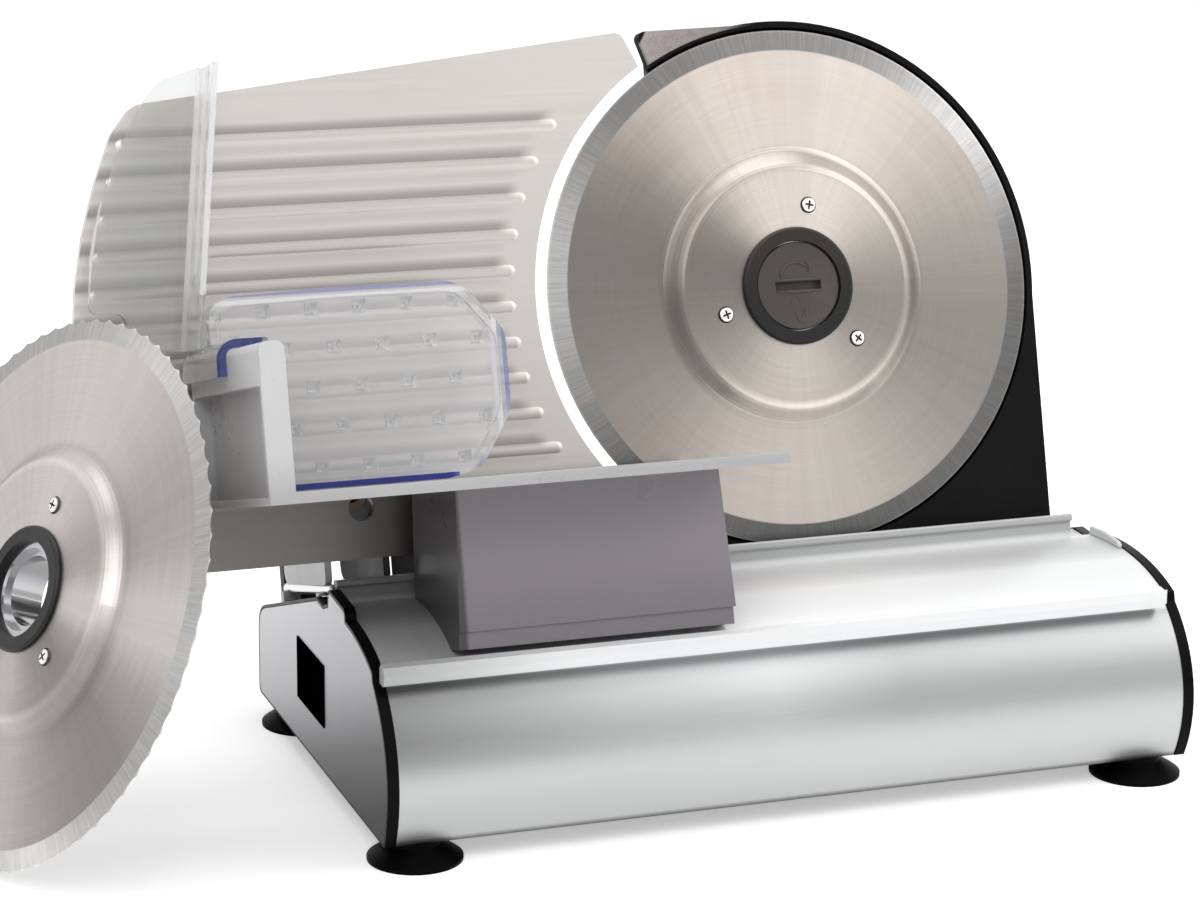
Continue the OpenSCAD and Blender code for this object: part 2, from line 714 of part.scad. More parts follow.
module screw_bodies() {
    at_blade_screws() difference() {
        union() {
            rod(blade_screw_r, flange_back + 0.8, boss_front);
            rotate_extrude($fn = 48) polygon([[0, boss_front], [blade_screw_head_r, boss_front],
                                              [blade_screw_head_r - 0.5, boss_front + 0.7],
                                              [blade_screw_head_r - 1.6, boss_front + blade_screw_head_h],
                                              [0, boss_front + blade_screw_head_h]]);
        }
        for (a = [0, 90]) rotate(a) box([-1.7, -0.35, boss_front + 0.2], [1.7, 0.35, boss_front + 2]);
    }
}

module blade() color([0.8, 0.78, 0.77]) blade_frame() blade_blank();
module blade_hub() color([0.1, 0.1, 0.1]) blade_frame() hub_body();
module trim_ring() color([0.07, 0.07, 0.07]) blade_frame() ring_body();
module hub_sleeve() color([0.75, 0.75, 0.76]) blade_frame() sleeve_body();
module blade_screws() color([0.7, 0.7, 0.72]) blade_frame() screw_bodies();

lock_cap_t = 1.6;
lock_cap_r = hub_bore_r - 0.4;

module coin_lock() color([0.12, 0.12, 0.12]) blade_frame() difference() {
    union() {
        rotate_extrude() polygon([[0, sleeve_front], [lock_cap_r, sleeve_front],
                                  [lock_cap_r, sleeve_front + lock_cap_t - 0.4],
                                  [lock_cap_r - 0.4, sleeve_front + lock_cap_t], [0, sleeve_front + lock_cap_t]]);
        rod(lock_stem_r, tail_back, sleeve_front);
        rod(gear_recess_r - 0.4, spindle_front + 1.2, tail_back);
    }
    box([-coin_slot_l / 2, -coin_slot_w / 2, sleeve_front - 1.4], [coin_slot_l / 2, coin_slot_w / 2, boss_front + 3]);
}

// ---- Thickness gauge ----

gauge_front = -0.4;
gauge_back = gauge_front - gauge_t;
gauge_foot = 9 - blade_r;
gauge_side_r = 258;
gauge_side_at = [-10.3, -25];
gauge_left = gauge_side_at[0] - gauge_side_r;
gauge_side = [for (a = [191:-4:159]) gauge_side_at + gauge_side_r * [cos(a), sin(a)]];
gauge_corners = concat(
    [[-74, gauge_foot, 3], [gauge_left + 9.8, gauge_foot, 9]],
    [for (p = gauge_side) [p[0], p[1], 0]],
    [[gauge_left + 18.3, 66.5, 0], [gauge_left + 27.8, 77.6, 9], [-59, 96.6, 4], [-51.2, 80.2, 0], [-46, 69, 0], [-74, -60, 0]]);

module gauge_outline() {
    difference() {
        polygon(rounded(gauge_corners));
        circle(r = gauge_arc_r, $fn = 360);
    }
}

rib_r = 4.3;
rib_h = 0.7;
rib_end_r = blade_r + 14;
rib_top = 64;
rib_inset = 7;

hang_hole_r = 4.7;
hang_hole_at = [-170, -68];

// A rib with round ends that stands out of the plate by rib_h
module rib(x0, x1) {
    rod_x(rib_r, x0, x1);
    for (x = [x0, x1]) translate([x, 0, 0]) sphere(r = rib_r);
}

module gauge_plate() color([0.84, 0.83, 0.82]) blade_frame() difference() {
    union() {
        slab(gauge_back, gauge_front) gauge_outline();
        intersection() {
            for (i = [0:rib_n - 1]) {
                up = rib_top - i * rib_pitch;
                reach = gauge_side_r - rib_inset;
                translate([0, up, gauge_front + rib_h - rib_r])
                    rib(gauge_side_at[0] - sqrt(reach * reach - (up - gauge_side_at[1]) * (up - gauge_side_at[1])),
                        -sqrt(rib_end_r * rib_end_r - up * up));
            }
            box([gauge_left, -blade_r, gauge_back], [0, blade_r, gauge_front + 2 * rib_h]);
        }
    }
    translate([hang_hole_at[0], hang_hole_at[1], 0]) rod(hang_hole_r, gauge_back - cut_over, gauge_front + cut_over);
    at_gauge_screws() rod(gauge_screw_r, gauge_back - cut_over, gauge_back + 2.6);
}

cheek_left = -184.1;
cheek_right = -160.2;
cheek_foot = 0.1 - blade_r;
web_up = -40;
web_back = gauge_back - cheek_t;
gauge_screw_r = 1.8;
gauge_screw_at = [[-178, -48], [-166.3, -48], [-178, -79], [-166.3, -79]];
spindle_at = [(cheek_left + cheek_right) / 2, -62];
rod_up = cheek_foot - 1;

module at_gauge_screws() {
    for (p = gauge_screw_at) translate([p[0], p[1], 0]) children();
}

// The sheet bracket that carries the gauge plate: a web against the plate and two cheeks behind it
module gauge_bracket() color([0.83, 0.83, 0.84]) blade_frame() difference() {
    union() {
        box([cheek_left, -84, web_back], [cheek_right, web_up, gauge_back]);
        for (x = [cheek_left, cheek_right - cheek_t]) across(x, x + cheek_t)
            polygon(rounded([[gauge_back, cheek_foot, 4], [gauge_back, web_up, 0],
                             [web_back - cheek_l + 20, web_up - 6, 8],
                             [web_back - cheek_l, web_up - 34, 6], [web_back - cheek_l, cheek_foot, 6]]));
    }
    translate([hang_hole_at[0], hang_hole_at[1], 0]) rod(hang_hole_r, web_back - cut_over, gauge_back + cut_over);
    translate([spindle_at[0], spindle_at[1], 0]) rod(thread_r + 0.5, web_back - cut_over, gauge_back + cut_over);
    at_gauge_screws() rod(gauge_screw_r + fit_gap, web_back - cut_over, gauge_back + cut_over);
    for (x = [cheek_left + cheek_t / 2, cheek_right - cheek_t / 2])
        translate([x, rod_up, 0]) rod(rod_r + run_gap, web_back - cheek_l - cut_over, gauge_back + cut_over);
}

nut_r = 6.4;
nut_l = 23;

module gauge_nut() color([0.78, 0.65, 0.3]) blade_frame() translate([spindle_at[0], spindle_at[1], 0])
    tube(nut_r, thread_r + run_gap, web_back - nut_l, web_back);

module gauge_screws() color([0.7, 0.7, 0.72]) blade_frame() at_gauge_screws() {
    rod(gauge_screw_r - fit_gap, web_back, gauge_back + 2.4);
    rod(gauge_screw_r + 1.4, web_back - 1.6, web_back);
}

rod_back = web_back - cheek_l;

module at_rods() {
    for (x = [cheek_left + cheek_t / 2, cheek_right - cheek_t / 2]) translate([x, rod_up, 0]) children();
}

module guide_rods() color([0.85, 0.85, 0.86]) blade_frame() at_rods() rod(rod_r, rod_back, rail_back - 1 - fit_gap);

module rod_saddles() color([0.5, 0.5, 0.52]) difference() {
    blade_frame() difference() {
        for (x = [cheek_left + cheek_t / 2, cheek_right - cheek_t / 2])
            for (z = [[-12, -8], [rod_back, rod_back + 4]])
                box([x - 3.2, rod_up - 12, z[0]], [x + 3.2, rod_up - rod_r / 2, z[1]]);
        at_rods() rod(rod_r, rod_back - cut_over, rail_back + cut_over);
    }
    base_frame() under_deck(seal_proud + 2 * fit_gap);
}

support_front = rod_back - gauge_travel - 3;
support_back = support_front - 6;
support_left = spindle_at[0] - 7.9;
support_right = spindle_at[0] + 28.1;

// The portal on the deck in which the knob's spindle turns
module knob_support() color([0.2, 0.2, 0.21]) difference() {
    blade_frame() difference() {
        slab(support_back, support_front)
            polygon(rounded([[support_left, -112, 0], [support_left, -50, 5], [support_right, -50, 5],
                             [support_right, -112, 0], [support_right - 10, -112, 0], [support_right - 10, -80, 3],
                             [support_left + 14, -80, 3], [support_left + 14, -112, 0]]));
        translate([spindle_at[0], spindle_at[1], 0]) rod(thread_r + run_gap, support_back - cut_over, support_front + cut_over);
    }
    base_frame() under_deck(0);
}

flute_n = 16;
flute_r = 2.4;
knob_gap = 0.5;

module thickness_knob() color([0.06, 0.06, 0.065]) blade_frame() translate([spindle_at[0], spindle_at[1], 0]) difference() {
    union() {
        rod(knob_r, support_back - knob_gap - knob_l, support_back - knob_gap);
        rod(thread_r + 3, support_back - knob_gap, support_back - 0.3);
    }
    for (i = [0:flute_n - 1]) rotate(i * 360 / flute_n) translate([knob_r + 1, 0, 0])
        rod(flute_r, support_back - knob_gap - knob_l - cut_over, support_back - knob_gap - 4);
    rod(thread_r, support_back - knob_gap - knob_l + 3, support_back);
}

module thickness_spindle() color([0.75, 0.75, 0.76]) blade_frame() translate([spindle_at[0], spindle_at[1], 0]) {
    rod(thread_r, support_back - knob_gap - knob_l + 3, web_back - gauge_travel + 0.6);
    rod(thread_r + 3, support_front + 0.3, support_front + 3);
}

// ---- Carriage ----

block_top_left = -154.7;
block_top_right = -59.7;
block_draft = 2.8;
block_foot = -118;
flare_h = 6;
flare_w = 2;
block_wall = 3;

module under_slide(lift) {
    top = [for (p = base_slide) p + [0, lift]];
    along_x(-250, 150) polygon(concat([[-130, deck_top - 4.6 + lift]], top,
                                      [[0, deck_top + 1.8 + lift], [0, deck_top - 60], [-130, deck_top - 60]]));
}

module carriage_block() color([0.32, 0.29, 0.33]) difference() {
    blade_frame() {
        difference() {
            slab(block_back, block_front) polygon([
                [block_top_left, block_up], [block_top_right, block_up],
                [block_top_right + block_draft, block_foot], [block_top_left - block_draft, block_foot]]);
            // Flared foot along the front and the right
            across(block_top_left - block_draft, block_top_right + block_draft) polygon([
                [block_front - cut_over, block_foot + flare_h], [block_front, block_foot + flare_h],
                [block_front + flare_w, block_foot], [block_front - cut_over, block_foot]]);
            slab(block_back + 20, block_front + flare_w) polygon([
                [block_top_right + block_draft - cut_over, block_foot + flare_h],
                [block_top_right + block_draft, block_foot + flare_h],
                [block_top_right + block_draft + flare_w, block_foot], [block_top_right + block_draft - cut_over, block_foot]]);
            slab(block_back + block_wall, block_front - block_wall) polygon([
                [block_top_left + block_wall, block_up - block_wall], [block_top_right - block_wall, block_up - block_wall],
                [block_top_right + block_draft - block_wall, block_foot - cut_over],
                [block_top_left - block_draft + block_wall, block_foot - cut_over]]);
            at_tray_screws() rotate([90, 0, 0]) rod(tray_screw_r + fit_gap, -cut_over, block_wall + cut_over);
            at_shoe_pins() rod(shoe_pin_r + fit_gap, block_back - cut_over, block_back + block_wall + cut_over);
        }
    }
    base_frame() under_slide(glide_gap);
}

shoe_gap = 0.3;
shoe_pin_r = 2;
shoe_left = -150;
shoe_right = -64;

module at_shoe_pins() {
    for (x = [shoe_left + 12, shoe_right - 12]) translate([x, rail_up + 1, 0]) children();
}

// The nylon shoe that hooks over the rear rail
module slide_shoe() color([0.9, 0.9, 0.88]) blade_frame() {
    across(shoe_left, shoe_right) polygon([
        [block_back, rail_up + 3.4], [rail_back + 0.4, rail_up + 3.4], [rail_back + 0.4, rail_up + shoe_gap],
        [rail_lip_front + shoe_gap, rail_up + shoe_gap], [rail_lip_front + shoe_gap, rail_up - rail_lip_h - shoe_gap],
        [rail_front + 0.5, rail_up - rail_lip_h - shoe_gap], [rail_front + 0.5, rail_up - rail_lip_h - 1.8],
        [block_back, rail_up - rail_lip_h - 1.8]]);
    at_shoe_pins() rod(shoe_pin_r, block_back - 1, block_back + block_wall);
}

skirt_t = 2.5;
wall_round = 3;
wall_hollow = 5.5;
wall_flange = 2.5;

module food_tray() color([0.76, 0.76, 0.77]) blade_frame() difference() {
    union() {
        box([tray_left, block_up, tray_back], [tray_right, tray_up, tray_front]);
        difference() {
            box([tray_left, tray_up - tray_skirt, tray_back], [tray_right, tray_up, tray_front]);
            box([tray_left + tray_wall, tray_up - tray_skirt - cut_over, tray_back + skirt_t],
                [tray_right - skirt_t, tray_up - cut_over, tray_front - skirt_t]);
        }
        // Left wall that the pusher slides on
        slab(tray_back, tray_front) polygon(rounded([
            [tray_left, tray_up - tray_skirt, 0], [tray_left, wall_top, wall_round],
            [tray_left + tray_wall, wall_top, wall_round], [tray_left + tray_wall, tray_up - tray_skirt, 0]]));
    }
    // Hollow in the wall's left face
    box([tray_left - cut_over, tray_up - tray_skirt + wall_flange, tray_back + wall_flange],
        [tray_left + wall_hollow, wall_top - 14, tray_front - wall_flange]);
    at_tray_screws() rotate([90, 0, 0]) {
        rod(tray_screw_r + fit_gap, -tray_t - cut_over, cut_over);
        translate([0, 0, -tray_t - 0.01]) cylinder(r1 = tray_screw_head_r + 0.05, r2 = tray_screw_r, h = tray_screw_head_h);
    }
}

tray_screw_r = 2;
tray_screw_head_r = 3.6;
tray_screw_head_h = 1.6;

module at_tray_screws() {
    for (x = [block_top_left + 18, block_top_right - 18]) for (z = [block_back + 9, block_front - 9])
        translate([x, block_up, z]) children();
}

module tray_screws() color([0.72, 0.72, 0.74]) blade_frame() at_tray_screws() rotate([90, 0, 0]) {
    rod(tray_screw_r, -tray_t + tray_screw_head_h, block_wall + 4);
    translate([0, 0, -tray_t]) cylinder(r1 = tray_screw_head_r, r2 = tray_screw_r, h = tray_screw_head_h);
}

// ---- Clear food pusher ----

grip_back = 25;
grip_front = grip_back + clear_t;
channel_back = 8;
channel_front = 62;
channel_in = wall_top + slide_gap;
channel_up = channel_in + clear_t;
channel_left = tray_left - slide_gap - clear_t;
grip_foot = tray_up + slide_gap;
grip_corners = [[tray_left + tray_wall + slide_gap, grip_foot, 0], [tray_left + tray_wall + slide_gap, channel_up - 1, 0],
                [-226.4, channel_up - 1, 0], [-226.4, 4, 5], [-219, 7.6, 9], [-181.7, 8.7, 0], [-136.5, 8.4, 14],
                [-121.4, -10, 12], [-121.3, -38, 20], [-134, -57.5, 12], [-146, grip_foot, 6]];
guard_back = 6;
guard_t = 2.2;
guard_corners = [[-230.6, -9, 0], [-247, -8.2, 3], [-251, 5.3, 4], [-262.8, 5.6, 3], [-260.4, 26.3, 0],
                 [-256.5, 40.9, 0], [-250.9, 54.4, 0], [-245.2, 66.2, 0], [-237, 79.4, 5], [-231.5, 84.6, 2],
                 [-216.8, 89.2, 1]];
side_corners = [[-230.6, -9.5], [-217.2, 88], [-215.2, 88], [-228.6, -9.5]];
grip_rim = 3.4;
spike_rows = [[-223.5, 1.8, 6], [-199.3, -11.6, 5], [-207.8, -25.2, 5], [-198.1, -39, 5], [-206.8, -53, 5]];

module spike() {
    mirror([0, 0, 1]) rotate(45) cylinder(r1 = 3.4, r2 = 0.5, h = spike_h, $fn = 4);
}

module pusher() color([0.82, 0.87, 0.95, 0.6]) blade_frame() {
    slab(grip_back, grip_front) polygon(rounded(grip_corners));
    // Thick rim round the gripping plate
    slab(grip_back - 3, grip_front + 2) difference() {
        polygon(rounded(grip_corners));
        polygon(inset(rounded(grip_corners), grip_rim));
    }
    for (row = spike_rows) for (i = [0:row[2] - 1])
        translate([row[0] + i * spike_pitch, row[1], grip_back]) spike();
    // Channel over the tray's left wall
    slab(channel_back, channel_front) difference() {
        polygon(rounded([[channel_left, channel_in - 9.3, 0], [channel_left, channel_up, 7],
                         [tray_left + tray_wall + 6, channel_up, 1], [tray_left + tray_wall + 6, channel_in, 0],
                         [tray_left + tray_wall, channel_in, 0], [tray_left + tray_wall, channel_in - 9.3, 0]]));
        polygon(rounded([[tray_left - slide_gap, channel_in - 10.3, 0], [tray_left - slide_gap, channel_in, wall_round],
                         [tray_left + tray_wall + 1, channel_in, 0], [tray_left + tray_wall + 1, channel_in - 10.3, 0]]));
    }
    slab(guard_back, guard_back + guard_t) polygon(rounded(guard_corners));
    slab(guard_back, grip_front) polygon(side_corners);
}

// ---- Spare serrated blade, leaning against the end of the gauge plate ----

spare_at = [gauge_left - 20.6, -40.1, -79.2];
spare_azimuth = -71.2;
spare_elevation = 22;

module spare_frame() {
    base_frame() translate(spare_at) rotate([90 - spare_elevation, 0, spare_azimuth]) rotate(8) children();
}

module spare_blade() color([0.8, 0.79, 0.78]) spare_frame() difference() {
    blade_blank();
    scallops();
}

module spare_hub() color([0.1, 0.1, 0.1]) spare_frame() hub_body();
module spare_ring() color([0.07, 0.07, 0.07]) spare_frame() ring_body();
module spare_sleeve() color([0.75, 0.75, 0.76]) spare_frame() sleeve_body();
module spare_screws() color([0.7, 0.7, 0.72]) spare_frame() screw_bodies();

// ---- Nodes ----

base_cover();
bottom_plate();
left_end_seal();
right_end_seal();
left_end_cap();
right_end_cap();
foot_front_left();
foot_front_right();
foot_rear_left();
foot_rear_right();
end_stop();
switch_bezel();
rocker_switch();
blade_housing();
rear_cover();
cover_screws();
spindle();
drive_gear();
motor();
motor_bearing();
worm_shaft();
blade();
blade_hub();
trim_ring();
hub_sleeve();
blade_screws();
coin_lock();
gauge_plate();
gauge_bracket();
gauge_nut();
gauge_screws();
guide_rods();
rod_saddles();
knob_support();
thickness_knob();
thickness_spindle();
carriage_block();
slide_shoe();
food_tray();
tray_screws();
pusher();
spare_blade();
spare_hub();
spare_ring();
spare_sleeve();
spare_screws();
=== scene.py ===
"""Looks of the food slicer: camera, studio, procedural materials and detailed pieces on the CAD frame.

The blade's frame is x to the right, s up the leaned blade and n out of it towards the user. The row's
frame is x, y, z as in the CAD. Shapes and bands are in millimetres, and ranges for a shader in metres.
"""
import json
import math

import bmesh
import bpy
from mathutils import Matrix, Vector


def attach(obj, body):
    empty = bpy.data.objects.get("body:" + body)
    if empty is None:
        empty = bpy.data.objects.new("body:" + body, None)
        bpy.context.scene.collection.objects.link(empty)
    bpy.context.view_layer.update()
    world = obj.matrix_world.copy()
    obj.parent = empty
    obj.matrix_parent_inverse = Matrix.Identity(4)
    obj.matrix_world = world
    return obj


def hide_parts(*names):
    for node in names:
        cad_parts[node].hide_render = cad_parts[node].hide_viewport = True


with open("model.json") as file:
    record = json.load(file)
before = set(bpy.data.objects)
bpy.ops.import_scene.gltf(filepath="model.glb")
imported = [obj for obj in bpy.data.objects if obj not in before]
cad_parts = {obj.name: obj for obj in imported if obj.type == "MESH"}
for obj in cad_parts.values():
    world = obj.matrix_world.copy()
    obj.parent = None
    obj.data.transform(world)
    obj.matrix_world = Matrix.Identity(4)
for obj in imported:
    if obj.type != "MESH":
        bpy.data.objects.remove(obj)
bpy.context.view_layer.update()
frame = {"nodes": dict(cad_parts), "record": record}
nodes = frame["nodes"]
scene = bpy.context.scene
slot_of_node = {part["node"]: part["material_slot"] for part in frame["record"]["subparts"]}
bodies = frame["record"]["behaviour"]["bodies"]
body_of = {name: body for body, names in bodies.items() for name in names}
MM = 0.001

# ---- Frames of the two blades: a centre and the axes x, s and n ----
TILT = math.radians(15.8)
CENTRE = Vector((109.1, 20.4, 167.4)) * MM
AX_X = Vector((1, 0, 0))
AX_S = Vector((0, math.sin(TILT), math.cos(TILT)))
AX_N = Vector((0, -math.cos(TILT), math.sin(TILT)))
BLADE = (CENTRE, AX_X, AX_S, AX_N)

SPARE_AZ, SPARE_EL = math.radians(-71.2), math.radians(22)
SPARE_CENTRE = CENTRE + Vector((-288.9, -40.1, -79.2)) * MM
SP_X = Vector((math.cos(SPARE_AZ), math.sin(SPARE_AZ), 0))
SP_N = Vector((math.sin(SPARE_AZ) * math.cos(SPARE_EL), -math.cos(SPARE_AZ) * math.cos(SPARE_EL),
               math.sin(SPARE_EL)))
SPARE = (SPARE_CENTRE, SP_X, SP_N.cross(SP_X), SP_N)


def at_blade(x, s, n):
    """A point given in millimetres in the blade's frame, in metres in the row's frame."""
    return CENTRE + (AX_X * x + AX_S * s + AX_N * n) * MM


def linked(name, data):
    """A new object in the scene."""
    made = bpy.data.objects.new(name, data)
    scene.collection.objects.link(made)
    return made


# ---- Camera, fitted to the photograph ----
CAM_AT = CENTRE + Vector((-481.256, -1133.827, 262.195)) * MM
YAW, PITCH, ROLL = math.radians(19.744), math.radians(14.8165), math.radians(-0.661)
FOCAL_PX, FRAME_W = 3401.04, 1200
SENSOR_MM = 36


def make_camera():
    forward = Vector((math.sin(YAW) * math.cos(PITCH), math.cos(YAW) * math.cos(PITCH),
                      -math.sin(PITCH)))
    level = Vector((math.cos(YAW), -math.sin(YAW), 0))
    below = forward.cross(level)
    right = level * math.cos(ROLL) + below * math.sin(ROLL)
    down = below * math.cos(ROLL) - level * math.sin(ROLL)
    data = bpy.data.cameras.new("camera")
    data.sensor_width = SENSOR_MM
    data.lens = FOCAL_PX / FRAME_W * SENSOR_MM
    data.clip_start, data.clip_end = 0.05, 50
    cam = linked("camera", data)
    turn = Matrix((right, -down, -forward)).transposed().to_4x4()
    cam.matrix_world = Matrix.Translation(CAM_AT) @ turn
    scene.camera = cam


make_camera()


# ---- Shader nodes ----
class Graph:
    """A short way to write shader nodes: most calls add nodes and return the socket that they give."""

    SHADER_INPUTS = {
        "color": "Base Color", "rough": "Roughness", "metal": "Metallic", "normal": "Normal",
        "aniso": "Anisotropic", "tangent": "Tangent", "clear": "Transmission Weight", "ior": "IOR",
        "specular": "Specular IOR Level"}

    def __init__(self, tree):
        self.tree = tree
        tree.nodes.clear()

    def put(self, socket, value):
        """Links a socket to another one, or sets its own value."""
        if isinstance(value, bpy.types.NodeSocket):
            self.tree.links.new(value, socket)
        elif value is not None:
            if socket.type == "RGBA":
                value = (value, value, value, 1) if isinstance(value, (int, float)) else (*value, 1)
            socket.default_value = value

    def node(self, kind, inputs=(), **settings):
        made = self.tree.nodes.new(kind)
        for key, value in settings.items():
            setattr(made, key, value)
        for key, value in dict(inputs).items():
            self.put(made.inputs[key], value)
        return made

    def math(self, operation, a, b=None, clamp=False):
        made = self.node("ShaderNodeMath", {0: a, 1: b}, operation=operation, use_clamp=clamp)
        return made.outputs[0]

    def add(self, a, b):
        return self.math("ADD", a, b)

    def less(self, a, b, clamp=False):
        return self.math("SUBTRACT", a, b, clamp)

    def times(self, product, *others):
        for other in others:
            product = self.math("MULTIPLY", product, other)
        return product

    def radius(self, x, y):
        return self.math("SQRT", self.add(self.times(x, x), self.times(y, y)))

    def tent(self, value, at, steepness):
        """1 where a value is at a place, falling to 0 on both sides of it."""
        off = self.math("ABSOLUTE", self.less(value, at))
        return self.less(1.0, self.times(off, steepness), clamp=True)

    def vector(self, operation, a, b=None):
        made = self.node("ShaderNodeVectorMath", {0: a, 1: b}, operation=operation)
        return made.outputs["Value" if operation == "DOT_PRODUCT" else "Vector"]

    def combine(self, x, y, z):
        return self.node("ShaderNodeCombineXYZ", {0: x, 1: y, 2: z}).outputs[0]

    def split(self, vector):
        return self.node("ShaderNodeSeparateXYZ", {0: vector}).outputs

    def place(self):
        """The point of the surface in the row's frame, in metres."""
        return self.node("ShaderNodeTexCoord").outputs["Object"]

    def axes(self, centre, *axes):
        """How far the point is from centre along each axis, in metres."""
        away = self.vector("SUBTRACT", self.place(), centre)
        return [self.vector("DOT_PRODUCT", away, axis) for axis in axes]

    def to_world(self, vector):
        made = self.node("ShaderNodeVectorTransform", {0: vector}, vector_type="VECTOR",
                         convert_from="OBJECT", convert_to="WORLD")
        return made.outputs[0]

    def noise(self, vector, scale, detail, rough):
        made = self.node("ShaderNodeTexNoise", {"Vector": vector, "Scale": scale, "Detail": detail,
                                               "Roughness": rough})
        return made.outputs["Fac"]

    def span(self, value, low, high, to_low=0.0, to_high=1.0, kind="LINEAR"):
        """Where a value lies between low and high, clamped, as a number between to_low and to_high."""
        made = self.node("ShaderNodeMapRange", {"Value": value, "From Min": low, "From Max": high,
                                               "To Min": to_low, "To Max": to_high},
                         interpolation_type=kind)
        return made.outputs[0]

    def ease(self, value, low, high, to_low=0.0, to_high=1.0):
        """As span, with a soft start and end."""
        return self.span(value, low, high, to_low, to_high, "SMOOTHSTEP")

    def between(self, value, low, high):
        """1 between low and high, otherwise 0."""
        over = self.math("GREATER_THAN", value, low)
        return self.times(over, self.math("LESS_THAN", value, high))

    def mix(self, fac, a, b, blend="MIX"):
        # Inputs 6 and 7 and output 2 are the ones for colours
        made = self.node("ShaderNodeMix", {0: fac, 6: a, 7: b}, data_type="RGBA", blend_type=blend)
        return made.outputs[2]

    def shaded(self, colour, factor, where=1.0):
        """A colour times a factor, as far as a mask says."""
        return self.mix(where, colour, factor, "MULTIPLY")

    def ramp(self, fac, stops):
        """A ramp of greys over (place, value) stops."""
        made = self.node("ShaderNodeValToRGB", {0: fac})
        elements = made.color_ramp.elements
        while len(elements) < len(stops):
            elements.new(0.5)
        for element, (place, value) in zip(elements, sorted(stops)):
            element.position = place
            element.color = (value, value, value, 1)
        return made.outputs[0]

    def bump(self, height, distance, strength):
        made = self.node("ShaderNodeBump", {"Height": height, "Distance": distance,
                                            "Strength": strength})
        return made.outputs[0]

    def finish(self, **inputs):
        """Ends a material in one Principled shader."""
        named = {self.SHADER_INPUTS[key]: value for key, value in inputs.items()}
        shader = self.node("ShaderNodeBsdfPrincipled", named)
        self.node("ShaderNodeOutputMaterial", {0: shader.outputs[0]})


def material(name, viewport):
    made = bpy.data.materials.new(name)
    made.use_nodes = True
    made.diffuse_color = (*viewport, 1)
    return made, Graph(made.node_tree)


def scaled(tint, factor):
    return tuple(c * factor for c in tint)


# ---- Steel discs ----
# Radii where a disc changes, in metres: its dish's slope, the bevel and its lip's painted highlight
DISH_RISE, DISH_FALL = (0.0415, 0.0445), (0.0515, 0.0495)
BEVEL_FROM, LIP_FROM = (0.0872, 0.0878), (0.0942, 0.0948)
# The dish's crest with a painted highlight and its foot with painted shade: radius, and how steeply
# each fades, to the metre
DISH_CREST, DISH_FOOT = (0.0442, 500), (0.0505, 380)
# Factors on the colour: a painted highlight on the crest and on the lip, and painted shade on the foot
CREST_LIGHT, FOOT_LIGHT, LIP_LIGHT = 1.22, 0.84, 1.4
# Marks to the metre over the radius: rings, finer rings, and the waver of the sectors' edges
RINGS, FINE_RINGS, WAVERS = 2600, 4200, 130
# Marks round the rim, as scales on a circle of radius 1, and how they change over the radius
STREAKS, SCRATCHES, SCRATCHES_OUT = 19, 150, 50
# How far a sector's edge wavers from ring to ring, as a share of a turn
WAVER_REACH = 0.009
# Warm patches on the face: scale to the metre, detail and roughness
PATCHES = (11, 4, 0.6)
WARM, WARM_SPARE, WARMER = (1.0, 0.92, 0.85), (1.0, 0.955, 0.93), (1.0, 0.95, 0.93)
BEVEL_TINT = (0.98, 0.965, 0.95)
# Painted reflections of the studio light round a disc, in degrees and display greys: a base level, and
# the angle, width and strength of its lobes
BLADE_FACE = (122, [(116, 25, 66), (70, 44, 92), (16, 40, 22), (-92, 58, 78)])
BLADE_EDGE = (118, [(38, 22, 88), (180, 34, 74), (92, 32, 25)])
SPARE_FACE = (128, [(5, 17, 66), (92, 62, 66), (-82, 28, 48), (165, 32, 42)])
SPARE_EDGE = (163, [(-62, 16, 42), (2, 11, 24), (70, 22, 34)])
# A stop every 12 degrees, because a ramp takes 32 stops at most
STOP_STEP = 12


def grey(level):
    """The linear value of a display grey from 0 to 255."""
    return ((level / 255 + 0.055) / 1.055) ** 2.4


def round_stops(light, gain):
    """Ramp stops over a turn from -180 degrees, for a base level and its lobes of light."""
    base, lobes = light
    stops = []
    for angle in range(-180, 181, STOP_STEP):
        level = base + sum(strength * math.exp(-((((angle - at + 180) % 360) - 180) / width) ** 2)
                           for at, width, strength in lobes)
        stops.append(((angle + 180) / 360, min(1.0, grey(level) * gain)))
    return stops


def disc_face(g, radius, angle, turn, rim, light, gain, crown):
    """The turned face: painted sectors of light over fine rings, and a dish with painted light of its
    own.
    """
    face = g.ramp(turn, round_stops(light, gain))
    rings = g.noise(g.combine(g.times(radius, RINGS), g.times(angle, 0.7), 0), 1.0, 4, 0.75)
    streak = g.noise(g.combine(*rim, 0), STREAKS, 5, 0.75)
    face = g.shaded(face, g.span(rings, 0.25, 0.75, 0.90, 1.08))
    face = g.shaded(face, g.span(streak, 0.3, 0.7, 0.95, 1.05))
    # A painted highlight on the crest where the dish begins, painted shade on the foot where it meets the
    # disc
    face = g.shaded(face, CREST_LIGHT, g.tent(radius, *DISH_CREST))
    face = g.shaded(face, FOOT_LIGHT, g.tent(radius, *DISH_FOOT))
    crown_at, crown_level, swing = crown
    turned = g.math("COSINE", g.less(angle, math.radians(crown_at)))
    slope = g.times(g.ease(radius, *DISH_RISE), g.ease(radius, *DISH_FALL))
    return g.shaded(face, g.less(crown_level, g.times(turned, swing)), slope)


def away_from(g, centre, axis):
    """The direction away from an axis, in which turning spreads the light."""
    out = g.vector("SUBTRACT", g.place(), centre)
    height = g.vector("DOT_PRODUCT", out, axis)
    along = g.node("ShaderNodeVectorMath", {0: axis, "Scale": height}, operation="SCALE")
    return g.vector("NORMALIZE", g.vector("SUBTRACT", out, along.outputs[0]))


